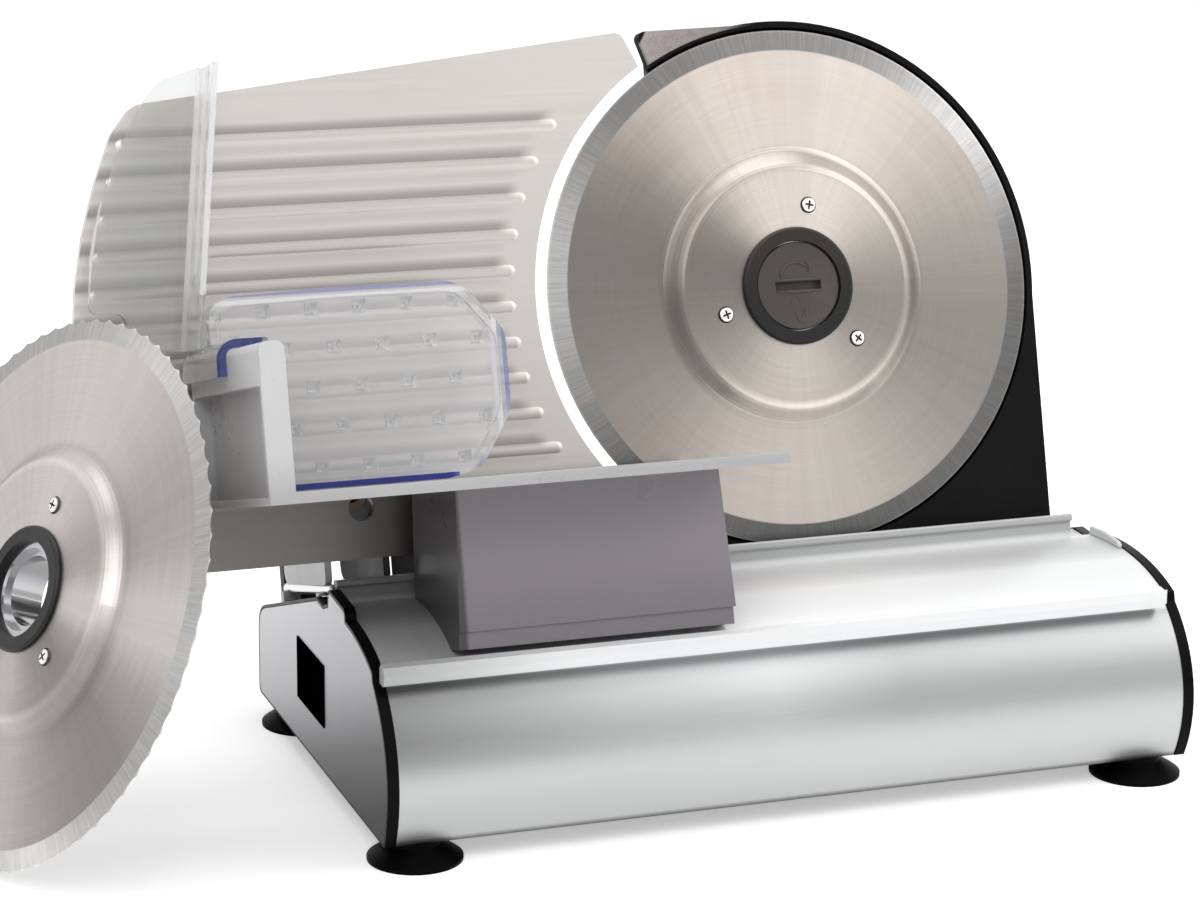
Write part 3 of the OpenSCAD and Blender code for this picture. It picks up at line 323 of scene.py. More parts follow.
def steel_disc(name, at, tint, face_light, face_gain, edge_light, edge_gain, crown):
    """Turned stainless steel with a ground bevel. at is the disc's frame, and crown the painted light on
    its
    dish: an angle, the middle level, and how far the light falls at that angle and rises opposite."""
    made, g = material(name, tint)
    x, y, _ = g.axes(*at)
    radius, angle = g.radius(x, y), g.math("ARCTAN2", y, x)
    rim = g.math("COSINE", angle), g.math("SINE", angle)
    waver = g.noise(g.combine(g.times(radius, WAVERS), angle, 7), 1.0, 3, 0.6)
    turn = g.add(g.math("DIVIDE", angle, 2 * math.pi), 0.5)
    turn = g.math("FRACT", g.add(turn, g.span(waver, 0.2, 0.8, -WAVER_REACH, WAVER_REACH)))
    face = disc_face(g, radius, angle, turn, rim, face_light, face_gain, crown)
    bevel = g.span(radius, *BEVEL_FROM)
    scratch = g.noise(g.combine(g.times(rim[0], SCRATCHES), g.times(rim[1], SCRATCHES),
                                g.times(radius, SCRATCHES_OUT)), 1.0, 3, 0.7)
    # The ground bevel's painted reflections round the disc
    ground = g.ramp(turn, round_stops(edge_light, edge_gain))
    ground = g.shaded(ground, g.span(scratch, 0.25, 0.75, 0.8, 1.2))
    ground = g.shaded(ground, LIP_LIGHT, g.span(radius, *LIP_FROM))
    patches = g.span(g.noise(g.place(), *PATCHES), 0.42, 0.66)
    warm = g.mix(patches, tint, tuple(a * b for a, b in zip(tint, WARMER)))
    fine = g.noise(g.combine(g.times(radius, FINE_RINGS), angle, 3), 1.0, 2, 0.6)
    height = g.add(g.times(g.less(1.0, bevel), fine), g.times(bevel, scratch))
    centre, axis = at[0], at[3]
    g.finish(color=g.shaded(g.mix(bevel, face, ground), g.mix(bevel, warm, BEVEL_TINT)),
             rough=g.add(g.span(fine, 0.2, 0.8, 0.3, 0.42), g.times(bevel, 0.1)), metal=1.0,
             aniso=0.5, tangent=g.to_world(away_from(g, centre, axis)),
             normal=g.bump(height, 0.00003, 0.3))
    return made


# ---- Brushed metal, moulded plastic and clear plastic ----
# Noises, as scale to the metre, detail and roughness
CLOUD, HANDLED, GLOSS = (9, 3, 0.5), (18, 4, 0.6), (40, 4, 0.6)
HAZE, RIPPLE, FACET_MOTTLE = (30, 4, 0.6), (120, 2, 0.5), (260, 3, 0.7)
# How often a brushed line changes along its length, to the metre
LINE_CHANGES = 9


def brushed(name, tint, across, spread, rough, lines, metal=1.0, aniso=0.0, shade=None):
    """Metal brushed along x, with so many lines to the metre over the axis across, up to spread darker.
    metal is a number or a function of the graph, and shade(g) is a factor on the colour."""
    made, g = material(name, tint)
    p = g.place()
    over = g.times(g.vector("DOT_PRODUCT", p, across), lines)
    along = g.times(g.vector("DOT_PRODUCT", p, AX_X), LINE_CHANGES)
    line = g.noise(g.combine(over, along, 0), 1.0, 3, 0.7)
    cloud = g.noise(p, *CLOUD)
    base = g.mix(g.span(line, 0.25, 0.8), scaled(tint, 1 - spread), tint)
    base = g.mix(g.span(cloud, 0.35, 0.7, 0, 0.12), base, scaled(tint, 0.86))
    if shade:
        base = g.shaded(base, shade(g))
    g.finish(color=base, rough=g.span(line, 0.2, 0.8, rough - 0.04, rough + 0.08), specular=0.2,
             metal=metal(g) if callable(metal) else metal, aniso=aniso,
             tangent=g.to_world(across) if aniso else None, normal=g.bump(line, 0.00002, 0.25))
    return made


def plastic(name, tint, rough=0.4, grain=0.0, grain_scale=1500, fleck=0.0, specular=0.5, shade=None,
            marks=0.1, patchy=1.0):
    """Moulded plastic or paint: a fine grain, pale flecks, faint handling marks and patches of gloss.
    shade(g) is a factor on the colour."""
    made, g = material(name, tint)
    p = g.place()
    handled = g.span(g.noise(p, *HANDLED), 0.42, 0.62)
    base = g.mix(handled, tint, tuple(min(1, c * (1 + marks) + 0.001) for c in tint))
    if fleck:
        specks = g.noise(p, grain_scale * 1.3, 1, 0.4)
        base = g.mix(g.span(specks, 0.6, 0.74, 0, fleck), base, tuple(c + 0.22 for c in tint))
    if shade:
        base = g.shaded(base, shade(g))
    gloss = g.span(g.noise(p, *GLOSS), 0.3, 0.7, rough - 0.05 * patchy, rough + 0.07 * patchy)
    normal = g.bump(g.noise(p, grain_scale, 2, 0.6), 0.0003, grain) if grain else None
    g.finish(color=base, rough=gloss, specular=specular, normal=normal)
    return made


# The middle of the gauge plate's round left side as (x, s), and how the guard's wall leans: x over s
SIDE_AT, WALL_LEAN = (-10.3, -25), 0.1374
# Bands of the clear piece, in millimetres over x, s and n. ring is the distance from SIDE_AT, wall is
# x along the guard's lean, and rise and fall are x + s and x - s
GUARD, PLATE_EDGE, PLATE_N = (-230.5, -226.6), (21, 32), (20, 32)
# Painted highlights: white lines where the clear walls, spikes and edges catch the light, also less clear
WHITE_LIGHT_LINES = [  # (how white, bands)
    (0.45, {"wall": GUARD, "n": (5, 7.6), "s": (-9, 92)}),
    (0.4, {"wall": GUARD, "n": (26.4, 29), "s": (9, 92)}),
    (0.12, {"wall": GUARD, "n": (7.6, 26.4), "s": (9, 92)}),
    (0.35, {"ring": (254.4, 258), "n": (5, 9), "s": (6, 70)}),
    (0.55, {"n": (16, 21.8), "x": (-227, -121)}),
    (0.12, {"n": (21.8, 32), "x": (-226, -120), "s": (-61, 10)}),
    (0.3, {"n": PLATE_EDGE, "x": (-224, -134), "s": (4.6, 6.2)}),
    (0.3, {"n": PLATE_EDGE, "x": (-126.4, -124.6), "s": (-50, 0)})]
# The tints of the painted glow along the edges, and the white of the painted lines of light
BLUE, LILAC, LINE_WHITE = (0.025, 0.05, 0.42), (0.55, 0.56, 0.82), (0.96, 0.96, 0.96)
# Painted glow: bands along edges, tinted as if light ran through them
GLOWING_EDGES = [  # (tint, bands)
    (LILAC, {"s": (7.2, 10), "n": PLATE_N, "x": (-226, -134)}),
    (LILAC, {"rise": (-126.4, -118), "n": PLATE_N, "s": (-12, 10)}),
    (LILAC, {"fall": (-78.6, -70), "n": PLATE_N, "s": (-58, -38)}),
    (BLUE, {"s": (-61, -57.9), "n": PLATE_N, "x": (-222, -142)}),
    (BLUE, {"n": (61.2, 63), "s": (-22, -5), "x": (-240, -216)}),
    (LILAC, {"x": (-123.0, -120), "s": (-46, -6), "n": PLATE_N})]
MILK, CLEAR_ROUGH, CLEAR_IOR = 0.1, 0.05, 1.45


def clear(name, tint):
    """Clear plastic, slightly milky, with painted white lines of light and a painted glow in a tint along
    its edges.
    """
    made, g = material(name, tint)
    x, s, n = g.axes(*BLADE)
    ring = g.radius(g.less(x, SIDE_AT[0] * MM), g.less(s, SIDE_AT[1] * MM))
    places = {"x": x, "s": s, "n": n, "ring": ring, "wall": g.less(x, g.times(s, WALL_LEAN)),
              "rise": g.add(x, s), "fall": g.less(x, s)}

    def inside(bands):
        return g.times(*[g.between(places[axis], low * MM, high * MM)
                         for axis, (low, high) in bands.items()])

    colour, through = tint, 1.0 - MILK
    for white, bands in WHITE_LIGHT_LINES:
        here = inside(bands)
        colour = g.mix(here, colour, LINE_WHITE)
        through = g.less(through, g.times(here, white))
    for edge_tint, bands in GLOWING_EDGES:
        colour = g.mix(inside(bands), colour, edge_tint)
    haze = g.span(g.noise(g.place(), *HAZE), 0.35, 0.75, CLEAR_ROUGH, CLEAR_ROUGH + 0.06)
    g.finish(color=colour, rough=haze, clear=through, ior=CLEAR_IOR,
             normal=g.bump(g.noise(g.place(), *RIPPLE), 0.0002, 0.06))
    return made


# ---- Painted light and shade that stay with a place on the part, as factors on its colour ----
# The gauge plate: light from its left (over x) and from above (over s), and the shade below the tray
LEFT_LIGHT, TOP_LIGHT, TRAY_SHADE = (-0.265, -0.2), (-0.06, 0.09), (-0.066, -0.060)
# Where its ribs lie: out from the blade's arc, below and above two heights s, and in front of an n
RIBS_FROM_BLADE, RIBS_BELOW, RIBS_ABOVE = (0.109, 0.1155), (0.0725, 0.068), (-0.0585, -0.056)
PLATE_FRONT = -0.001
RIB_TOP, RIB_PITCH = 64, 12.9
# The wave of light over one pitch, from the middle of a rib upwards
RIB_SHADE = [(0.0, 0.93), (0.06, 0.80), (0.12, 0.58), (0.17, 0.50), (0.22, 0.58), (0.28, 0.60),
             (0.38, 0.77), (0.50, 1.02), (0.62, 0.93), (0.74, 0.89), (0.85, 1.01), (0.94, 1.02),
             (1.0, 0.93)]


def from_left(g):
    """Light over the front of the gauge plate, which is in shadow below the tray."""
    x, s, n = g.axes(*BLADE)
    lit = g.times(g.ease(x, *LEFT_LIGHT, 1.12, 1.0), g.span(s, *TOP_LIGHT, 0.97, 1.06),
                  g.ease(s, *TRAY_SHADE, 0.37, 1.0))
    # Soft light and shade over the pressed ribs and the hollows between them
    pitches = g.math("DIVIDE", g.less(s, RIB_TOP * MM), RIB_PITCH * MM)
    wave = g.ramp(g.math("FRACT", pitches), RIB_SHADE)
    here = g.times(g.ease(g.radius(x, s), *RIBS_FROM_BLADE), g.ease(s, *RIBS_BELOW),
                   g.span(s, *RIBS_ABOVE))
    lit = g.times(lit, g.add(1.0, g.times(here, g.less(wave, 1.0))))
    return g.mix(g.math("GREATER_THAN", n, PLATE_FRONT), 1.0, lit)


# Painted light and shade on the left end cap, over z and CAP_LEAN times y in the row's frame
CAP_SPAN, CAP_LEAN = (-0.03, 0.07), 0.38
CAP_LIGHT = [(0.0, 0.01), (0.18, 0.05), (0.42, 0.26), (0.7, 0.82), (1.0, 1.0)]


def to_corner(g):
    """Painted light and shade: the left end is light at the top and dark in its lower front corner."""
    _, y, z = g.split(g.place())
    return g.ramp(g.span(g.add(z, g.times(y, CAP_LEAN)), *CAP_SPAN), CAP_LIGHT)


# Painted light and shade on the base, as factors on its colour
# The base, in the row's frame: the run x of the light on the slide and the front, and on the lip, the
# depth y where the lip ends, and the heights z of the front's turn, the slide and the rail behind it
SLIDE_X, LIP_X, LIP_Y = (-0.078, 0.112), (-0.08, 0.0), (-0.0725, -0.0715)
FRONT_Z, SLIDE_Z, RAIL_Z = (0.026, 0.048), (0.0605, 0.0615), (0.0725, 0.074)
SLIDE_LIGHT = [(0.0, 0.60), (0.2, 0.66), (0.36, 0.8), (0.58, 1.26), (1.0, 1.15)]
FRONT_LIGHT = [(0.0, 0.33), (0.45, 0.68), (0.75, 0.80), (1.0, 0.58)]
FRONT_LOW_LIGHT, RAIL_LIGHT = 0.74, 0.62
# A painted shade along the front's foot, between these two heights
FRONT_FOOT = min(v.co.z for v in nodes["base_cover"].data.vertices)
FOOT_LINE = (FRONT_FOOT + 0.0003, FRONT_FOOT + 0.0022)


def over_base(g):
    """Painted shade and light: the slide is dark under the tray and white beyond it, the front gets
    lighter from the left, and its foot is shaded.
    """
    x, y, z = g.split(g.place())
    slide = g.ramp(g.span(x, *SLIDE_X), SLIDE_LIGHT)
    slide = g.mix(g.span(y, *LIP_Y), g.ease(x, *LIP_X, 0.70, 1.3), slide)
    slide = g.mix(g.span(z, *RAIL_Z), slide, g.times(slide, RAIL_LIGHT))
    front = g.mix(g.ease(z, *FRONT_Z), FRONT_LOW_LIGHT, g.ramp(g.span(x, *SLIDE_X), FRONT_LIGHT))
    front = g.times(front, g.span(z, *FOOT_LINE, 0.3, 1.0))
    return g.mix(g.span(z, *SLIDE_Z), front, slide)


def satin_slide(g):
    """How metallic the base is: bare metal at the front, and a slide that hardly mirrors."""
    _, _, z = g.split(g.place())
    return g.span(z, *SLIDE_Z, 1.0, 0.15)


# The edges of the bracket's second cheek, the tray's wall, the hub's ring and the carriage block
CHEEK_X, TRAY_WALL_S, HUB_RING_S = (-0.1795, -0.1785), (-0.062, -0.048), (-0.01, 0.02)
BLOCK_FOOT_S, BLOCK_LEFT_X = (-0.115, -0.085), (-0.155, -0.1535)


def far_side(g):
    """Painted shade: the bracket's second cheek stands in the dark behind the carriage."""
    x, _, _ = g.axes(*BLADE)
    return g.span(x, *CHEEK_X, 1.0, 0.1)


def down_block(g):
    """Painted shade: the carriage block gets darker towards its foot, and its left face is in shadow."""
    x, s, _ = g.axes(*BLADE)
    return g.times(g.ease(s, *BLOCK_FOOT_S, 0.72, 1.06), g.span(x, *BLOCK_LEFT_X, 0.3, 1.0))


def on_tray(g):
    """Painted light: the tray's wall catches more light than its rim."""
    _, s, _ = g.axes(*BLADE)
    return g.span(s, *TRAY_WALL_S, 0.95, 1.34)


def ring_light(g):
    """Painted light: the hub ring is browner and lighter at its top."""
    _, s, _ = g.axes(*BLADE)
    return g.mix(g.ease(s, *HUB_RING_S), 0.7, (2.2, 1.9, 1.75))


# The housing's top left facet, with its painted highlight: beyond a radius, left of an x, above an s, in
# front of an n, and to the right of a slanted line
FACET_RADIUS, FACET_X, FACET_S = (0.0973, 0.0976), (-0.006, -0.024), (0.079, 0.081)
FACET_N, FACET_SLANT, FACET_LINE = -0.0015, -0.62, (-0.1092, -0.1086)
# Factors of the painted highlight on the black, its darker and its lighter mottle
FACET_DARK, FACET_LIGHT = (35, 32, 28), (45, 41, 36.5)


def facet(g):
    """A painted highlight: the housing's top left facet catches the light between its black edges."""
    x, s, n = g.axes(*BLADE)
    side = g.add(x, g.times(s, FACET_SLANT))
    here = g.times(g.span(g.radius(x, s), *FACET_RADIUS), g.ease(x, *FACET_X), g.span(s, *FACET_S),
                   g.span(side, *FACET_LINE), g.math("GREATER_THAN", n, FACET_N))
    mottle = g.noise(g.place(), *FACET_MOTTLE)
    return g.mix(here, 1.0, g.mix(g.span(mottle, 0.3, 0.7), FACET_DARK, FACET_LIGHT))


# How far below its top a screw's head is dark with painted shade, and bright, in metres
RECESS_DARK, RECESS_BRIGHT = 0.00055, 0.0003


def in_recess(g, node, centre, axis):
    """Painted shade: a screw's cross and the foot of its head are dark; what is left of the head is
    bright.
    """
    top = max((v.co - centre).dot(axis) for v in nodes[node].data.vertices)
    height, = g.axes(centre, axis)
    return g.span(height, top - RECESS_DARK, top - RECESS_BRIGHT, 0.05, 1.0)


# ---- The materials: one for each slot of the record, and three for single nodes ----
SCREW_STEEL = (0.92, 0.90, 0.86)
MATERIALS = {
    "blade_steel": steel_disc("blade_steel", BLADE, WARM, BLADE_FACE, 0.95, BLADE_EDGE, 0.8,
                              (100, 0.90, 0.35)),
    "gauge_steel": brushed("gauge_steel", (0.60, 0.57, 0.54), AX_S, 0.05, 0.38, 900, aniso=0.4,
                           shade=from_left),
    "extrusion": brushed("base_aluminium", (0.66, 0.665, 0.67), (0, 0.6, 0.8), 0.03, 0.36, 1500,
                         metal=satin_slide, shade=over_base),
    "cap_silver": brushed("cap_silver_paint", (0.58, 0.575, 0.60), AX_X, 0.02, 0.42, 2600,
                          metal=0.75, shade=to_corner),
    "screw_steel": brushed("screw_steel", SCREW_STEEL, AX_S, 0.06, 0.25, 3000),
    "shaft_steel": brushed("shaft_steel", (0.6, 0.6, 0.61), AX_S, 0.06, 0.15, 2500),
    "sleeve_steel": brushed("sleeve_steel", (0.45, 0.45, 0.46), AX_S, 0.1, 0.12, 2500),
    "bearing_brass": brushed("bearing_brass", (0.16, 0.12, 0.09), AX_S, 0.08, 0.3, 2500),
    "seal_rubber": plastic("seal_rubber", (0.0015, 0.0015, 0.0015), 0.3, grain=0.03, specular=0.06),
    "foot_rubber": plastic("foot_rubber", (0.001, 0.001, 0.001), 0.4, grain=0.05, specular=0.03),
    "stop_grey": plastic("stop_grey", (0.62, 0.625, 0.63)),
    "switch_black": plastic("switch_black", (0.0008, 0.0008, 0.0008), 0.5, specular=0.0),
    "housing_black": plastic("housing_black", (0.0072, 0.0070, 0.0078), 0.5, grain=0.6,
                             grain_scale=1300, fleck=0.012, specular=0.04, shade=facet),
    "gear_nylon": plastic("gear_nylon", (0.72, 0.69, 0.6), 0.45),
    "motor_grey": plastic("motor_grey", (0.16, 0.165, 0.175), 0.35),
    "hub_black": plastic("hub_black", (0.010, 0.009, 0.0085), grain=0.15, grain_scale=900,
                         specular=0.3, shade=ring_light),
    "lock_black": plastic("lock_black", (0.052, 0.044, 0.043), 0.42, grain=0.2, grain_scale=900,
                          specular=0.4, marks=0.3),
    "bracket_grey": plastic("bracket_paint", (0.5, 0.5, 0.505), 0.36, grain=0.05, shade=far_side),
    "knob_black": plastic("knob_black", (0.006, 0.006, 0.006), 0.35, grain=0.12, specular=0.2),
    "plate_black": plastic("plate_black", (0.01, 0.01, 0.01), 0.5, grain=0.2, specular=0.2),
    "block_purple": plastic("block_purple", (0.255, 0.238, 0.258), 0.28, specular=0.4,
                            shade=down_block, marks=0.01, patchy=0.15),
    "shoe_white": plastic("shoe_white", (0.7, 0.7, 0.68), 0.45),
    "tray_grey": plastic("tray_grey", (0.44, 0.44, 0.445), 0.3, grain=0.03, grain_scale=1800,
                         marks=0.05, shade=on_tray),
    "clear_plastic": clear("clear_plastic", (0.84, 0.85, 0.84)),
}
OWN = {
    "spare_blade": steel_disc("spare_steel", SPARE, WARM_SPARE, SPARE_FACE, 0.94, SPARE_EDGE, 0.98,
                              (10, 1.0, -0.08)),
    "blade_screws": brushed("screw_steel_crossed", SCREW_STEEL, AX_S, 0.04, 0.28, 3000,
                            shade=lambda g: in_recess(g, "blade_screws", CENTRE, AX_N)),
    "spare_screws": brushed("screw_steel_spare", SCREW_STEEL, AX_S, 0.04, 0.28, 3000,
                            shade=lambda g: in_recess(g, "spare_screws", SPARE_CENTRE, SP_N)),
}


def material_of(node):
    return OWN.get(node) or MATERIALS[slot_of_node[node]]


for name, obj in nodes.items():
    obj.data.materials.clear()
    obj.data.materials.append(material_of(name))


# ---- Pieces: CAD nodes with rounded edges ----
# Corners closer than this are one, in metres, and faces within this many degrees are joined
WELD, FLAT = 2e-6, 0.4


def mesh_of(name, bm):
    """A mesh made from bm, which ends here."""
    mesh = bpy.data.meshes.new(name)
    bm.to_mesh(mesh)
    bm.free()
    return mesh


def cleaned(node):
    """A copy of a node's mesh with its flat faces joined up again."""
    bm = bmesh.new()
    bm.from_mesh(nodes[node].data)
    bmesh.ops.remove_doubles(bm, verts=bm.verts, dist=WELD)
    bmesh.ops.dissolve_limit(bm, angle_limit=math.radians(FLAT), verts=bm.verts, edges=bm.edges,
                             delimit=set())
    return bm


def prism(bm, outline, low, high):
    """Adds a prism to bm: (x, n) corners between two heights s, in the blade's frame."""
    ends = [[bm.verts.new(at_blade(x, s, n)) for x, n in outline] for s in (low, high)]
    bm.faces.new(ends[0][::-1])
    bm.faces.new(ends[1])
    for i in range(len(outline)):
        j = (i + 1) % len(outline)
        bm.faces.new((ends[0][i], ends[0][j], ends[1][j], ends[1][i]))
    bmesh.ops.recalc_face_normals(bm, faces=bm.faces)


def carved(bm, outline, low, high):
    """What is left of bm, which ends here, without a prism."""
    wedge = bmesh.new()
    prism(wedge, outline, low, high)
    body = linked("body", mesh_of("body", bm))
    cutter = linked("cutter", mesh_of("cutter", wedge))
    cut = body.modifiers.new("cut", "BOOLEAN")
    cut.object, cut.operation, cut.solver = cutter, "DIFFERENCE", "EXACT"
    bpy.context.view_layer.update()
    left = bmesh.new()
    left.from_mesh(body.evaluated_get(bpy.context.evaluated_depsgraph_get()).to_mesh())
    for obj in (body, cutter):
        mesh = obj.data
        bpy.data.objects.remove(obj)
        bpy.data.meshes.remove(mesh)
    return left


# The wedge taken off behind the housing's top left shoulder: (x, n) corners, and its lowest and highest s
SHOULDER_CUT = [(-62, -5), (-47.6, -5), (-22, -80), (-62, -80)]
SHOULDER_LOW, SHOULDER_HIGH = 55.6, 110
CARVED = {"blade_housing", "rear_cover"}
# The side wall and the floor that close the housing there
SHOULDER_WALL = [(-47.4, -5), (-44.6, -5), (-24.2, -64.6), (-27.0, -64.6)]
SHOULDER_FLOOR = [(-46.6, -5), (-27.0, -62.5), (-46.6, -62.5)]
WALL_S, FLOOR_S = (SHOULDER_LOW - 2, 95.4), (SHOULDER_LOW - 2.2, SHOULDER_LOW - 0.1)

# The step at the gauge plate's shoulder: its (x, s), the reach of its corners, and how far they move
STEP_AT, STEP_REACH, STEP_MOVE = (-250.0, 66.5), 0.6, 2.2
# Its side left of an x, above an s and beyond a radius is drawn in, more towards its top
SIDE_X, SIDE_S, SIDE_RADIUS, SIDE_MOVE, SIDE_HEIGHT, SIDE_POWER = -240, 20, 256.5, 2.6, 48, 1.5


def rounded_shoulder(bm):
    """Draws the upper part of the gauge plate's left side in to one even curve."""
    for vert in bm.verts:
        p = vert.co - CENTRE
        x, s = p.dot(AX_X) / MM, p.dot(AX_S) / MM
        if abs(x - STEP_AT[0]) < STEP_REACH and abs(s - STEP_AT[1]) < STEP_REACH:
            vert.co += (AX_X + AX_S) * STEP_MOVE * MM
        elif x < SIDE_X and s > SIDE_S and math.hypot(x - SIDE_AT[0], s - SIDE_AT[1]) > SIDE_RADIUS:
            vert.co += AX_X * SIDE_MOVE * ((s - SIDE_S) / SIDE_HEIGHT) ** SIDE_POWER * MM


def soften(node, width, angle):
    """Replaces a node with a copy whose edges sharper than angle are rounded, width in millimetres."""
    bm = cleaned(node)
    if node == "gauge_plate":
        rounded_shoulder(bm)
    if node in CARVED:
        bm = carved(bm, SHOULDER_CUT, SHOULDER_LOW, SHOULDER_HIGH)
    mesh = mesh_of(node + "_piece", bm)
    mesh.materials.append(material_of(node))
    for polygon in mesh.polygons:
        polygon.use_smooth = True
    mesh.set_sharp_from_angle(angle=math.radians(angle))
    piece = linked(node + "_piece", mesh)
    bevel = piece.modifiers.new("bevel", "BEVEL")
    bevel.width = width * MM
    bevel.segments = 2
    bevel.limit_method = "ANGLE"
    bevel.angle_limit = math.radians(angle)
    bevel.use_clamp_overlap = True
    weigh = piece.modifiers.new("weigh", "WEIGHTED_NORMAL")
    weigh.mode = "FACE_AREA"
    weigh.weight = 90
    weigh.keep_sharp = True
    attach(piece, body_of[node])
    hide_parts(node)


# Widths of the rounded edges, in millimetres, and the angle over which an edge is sharp, in degrees
SOFT_EDGES = {
    "base_cover": 0.4, "left_end_cap": 0.5, "right_end_cap": 0.5, "left_end_seal": 0.3,
    "right_end_seal": 0.3, "end_stop": 0.5, "blade_housing": 0.6, "rear_cover": 0.6,
    "gauge_plate": 0.5, "gauge_bracket": 0.5, "carriage_block": 1.0, "food_tray": 0.6, "pusher": 0.5,
    "trim_ring": 0.2, "coin_lock": 0.25, "thickness_knob": 0.5, "knob_support": 0.5,
    "switch_bezel": 0.3, "rocker_switch": 0.4, "slide_shoe": 0.3, "spare_ring": 0.2,
}
SHARP = 30
# The flanks of the gauge plate's pressed ribs stay smooth
SHARP_OF = {"gauge_plate": 48}
for node, width in SOFT_EDGES.items():
    soften(node, width, SHARP_OF.get(node, SHARP))


def make_shoulder_wall():
    """The walls that close the housing behind its shoulder."""
    bm = bmesh.new()
    prism(bm, SHOULDER_WALL, *WALL_S)
    prism(bm, SHOULDER_FLOOR, *FLOOR_S)
    mesh = mesh_of("housing_shoulder_wall", bm)
    mesh.materials.append(MATERIALS["housing_black"])
    piece = linked("housing_shoulder_wall", mesh)
    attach(piece, "base")


make_shoulder_wall()


# ---- Raised marks on the coin lock, in the blade's frame ----
# The sides of a round line, how thin its ends are, and how deep it is sunk in the lock's face
STRAND_SIDES, STRAND_TAPER, STRAND_SUNK = 8, 0.55, 0.05


def front_of(node):
    """How far a node reaches along the blade's axis towards the user, in millimetres."""
    return max((v.co - CENTRE).dot(AX_N) for v in nodes[node].data.vertices) / MM


def strand(name, runs, radius, body, slot):
    """Raised rounded lines that taper at their ends, each through points given as (x, s, n)."""
    bm = bmesh.new()
    turns = [2 * math.pi * k / STRAND_SIDES for k in range(STRAND_SIDES)]
    for run in runs:
        path = [at_blade(*p) for p in run]
        loops = []
        for i, point in enumerate(path):
            ahead = (path[min(i + 1, len(path) - 1)] - path[max(i - 1, 0)]).normalized()
            side = ahead.cross(AX_N).normalized()
            reach = radius * (STRAND_TAPER if i in (0, len(path) - 1) else 1.0) * MM
            loops.append([bm.verts.new(point + (side * math.cos(t) + AX_N * math.sin(t)) * reach)
                          for t in turns])
        for a, b in zip(loops, loops[1:]):
            for k in range(STRAND_SIDES):
                j = (k + 1) % STRAND_SIDES
                bm.faces.new((a[k], a[j], b[j], b[k])).smooth = True
        bm.faces.new(loops[0][::-1])
        bm.faces.new(loops[-1])
    bmesh.ops.recalc_face_normals(bm, faces=bm.faces)
    mesh = mesh_of(name, bm)
    mesh.materials.append(MATERIALS[slot])
    piece = linked(name, mesh)
    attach(piece, body)


def arc(x, s, radius, start, end, squeeze=1.0, steps=12):
    """Points (x, s) of an arc, from start to end in degrees."""
    angles = [math.radians(start + (end - start) * i / steps) for i in range(steps + 1)]
    return [(x + radius * math.cos(a), s + squeeze * radius * math.sin(a)) for a in angles]


# Each mark's radius and its runs of (x, s) points: an arrow, the lips of the slot and a padlock
LOCK_MARKS = {
    "lock_arrow": (0.5, [arc(-0.8, 2.4, 6.2, 172, 42), [(3.2, 8.9), (4.9, 7.3), (4.2, 4.9)]]),
    "lock_slot_lips": (0.5, [
        [(x, side * s) for x, s in ((-8.9, 1.85), (-5, 2.1), (0, 2.25), (5, 2.1), (8.9, 1.85))]
        for side in (1, -1)]),
    "lock_padlock": (0.3, [
        [(-3.4, -6.8)] + arc(-1.7, -5.2, 1.7, 180, 0) + [(0, -6.4)],
        [(-1.6, -7.3), (-1.6, -10.6)] + arc(1.2, -10.8, 2.8, 190, 350)
        + [(4.0, -10.4), (4.0, -7.3)],
        arc(1.2, -8.9, 0.8, 300, 600, squeeze=1.1),
        [(0.9, -9.7), (0.4, -11.5)], [(1.5, -9.7), (2.0, -11.5)]]),
}
lock_face = front_of("coin_lock") - STRAND_SUNK
for name, (radius, runs) in LOCK_MARKS.items():
    raised = [[(x, s, lock_face) for x, s in run] for run in runs]
    strand(name, raised, radius, "lock", "lock_black")

# ---- Studio ----
WHITE = (1, 1, 1)
# Half the floor's width in metres, its colour, and the glow with which the camera sees it white
FLOOR_HALF, FLOOR_COLOUR, FLOOR_GLOW = 4, 0.9, 0.42


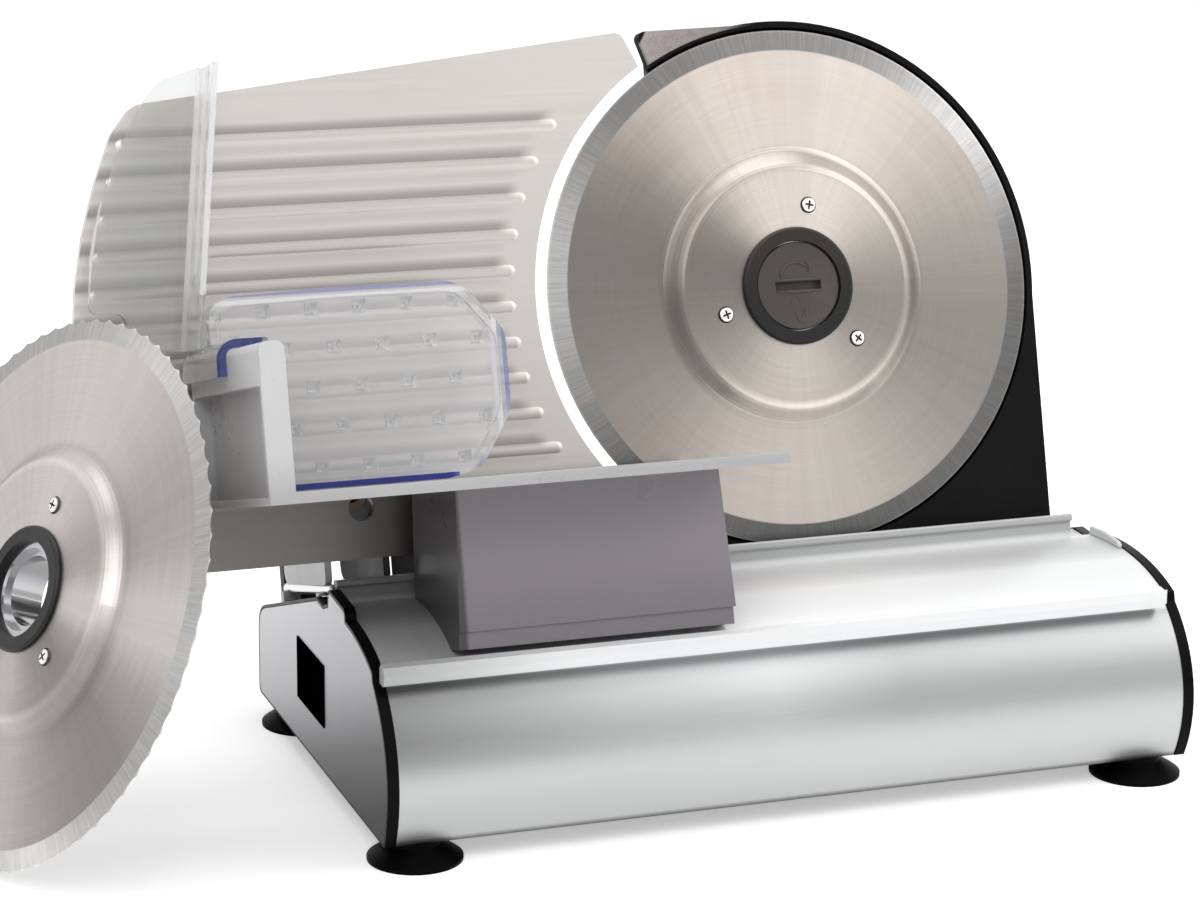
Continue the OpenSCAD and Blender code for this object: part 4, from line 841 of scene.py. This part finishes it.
def make_floor():
    corners = [(x * FLOOR_HALF, y * FLOOR_HALF, 0) for x, y in ((-1, -1), (1, -1), (1, 1), (-1, 1))]
    mesh = bpy.data.meshes.new("floor")
    mesh.from_pydata(corners, [], [(0, 1, 2, 3)])
    made, g = material("floor_white", WHITE)
    diffuse = g.node("ShaderNodeBsdfDiffuse", {"Color": FLOOR_COLOUR}).outputs[0]
    glow = g.node("ShaderNodeEmission", {"Color": WHITE, "Strength": FLOOR_GLOW}).outputs[0]
    both = g.node("ShaderNodeAddShader", {0: diffuse, 1: glow}).outputs[0]
    path = g.node("ShaderNodeLightPath").outputs
    seen = g.math("MAXIMUM", path["Is Camera Ray"], g.math("MAXIMUM", path["Is Glossy Ray"],
                                                           path["Is Transmission Ray"]))
    pick = g.node("ShaderNodeMixShader", {0: seen, 1: diffuse, 2: both})
    g.node("ShaderNodeOutputMaterial", {0: pick.outputs[0]})
    mesh.materials.append(made)
    floor = linked("floor", mesh)


# What metal mirrors in front of the machine and behind it, and how strong the room's own light is
MIRROR_FRONT, MIRROR_BACK, ROOM_LIGHT = (0.86, 1.2), 1.2, 0.62


def make_world():
    """The room: white to the camera, and to metal a soft band in front and a bright wall behind."""
    world = bpy.data.worlds.new("studio")
    scene.world = world
    world.use_nodes = True
    g = Graph(world.node_tree)
    side, back, up = g.split(g.node("ShaderNodeTexCoord").outputs["Generated"])
    front = g.add(g.ease(up, 0.25, 0.85, *MIRROR_FRONT), g.span(side, -1, 1, -0.04, 0.04))
    mirror = g.mix(g.ease(back, -0.25, 0.5), front, MIRROR_BACK)
    room = g.add(g.ease(up, -0.1, 0.9, 0.5, 0.95), g.span(side, -1, 1, 0.12, -0.12))
    path = g.node("ShaderNodeLightPath").outputs
    seen = g.math("MAXIMUM", path["Is Camera Ray"], path["Is Transmission Ray"])
    level = g.mix(path["Is Glossy Ray"], g.times(room, ROOM_LIGHT), mirror)
    backdrop = g.node("ShaderNodeBackground", {"Color": g.mix(seen, level, 1.0), "Strength": 1.0})
    g.node("ShaderNodeOutputWorld", {0: backdrop.outputs[0]})


# Soft boxes: name, place, the point that each faces, width and height in metres, and watts
LAMPS = [
    ("key", (-1.2, -1.6, 1.9), (0, 0, 0.1), (1.8, 1.8), 26),
    ("fill", (1.7, -0.9, 1.3), (0.05, 0, 0.12), (1.3, 1.5), 14),
    ("top", (0.1, 0.3, 1.9), (0, 0, 0.1), (1.8, 1.2), 15),
]


def soft_box(name, at, to, size, power):
    data = bpy.data.lights.new(name, "AREA")
    data.shape = "RECTANGLE"
    data.size, data.size_y = size
    data.energy = power
    lamp = linked(name, data)
    lamp.location = at
    lamp.rotation_euler = (Vector(to) - Vector(at)).to_track_quat("-Z", "Y").to_euler()


make_floor()
make_world()
for lamp in LAMPS:
    soft_box(*lamp)
scene.view_settings.view_transform = "Standard"
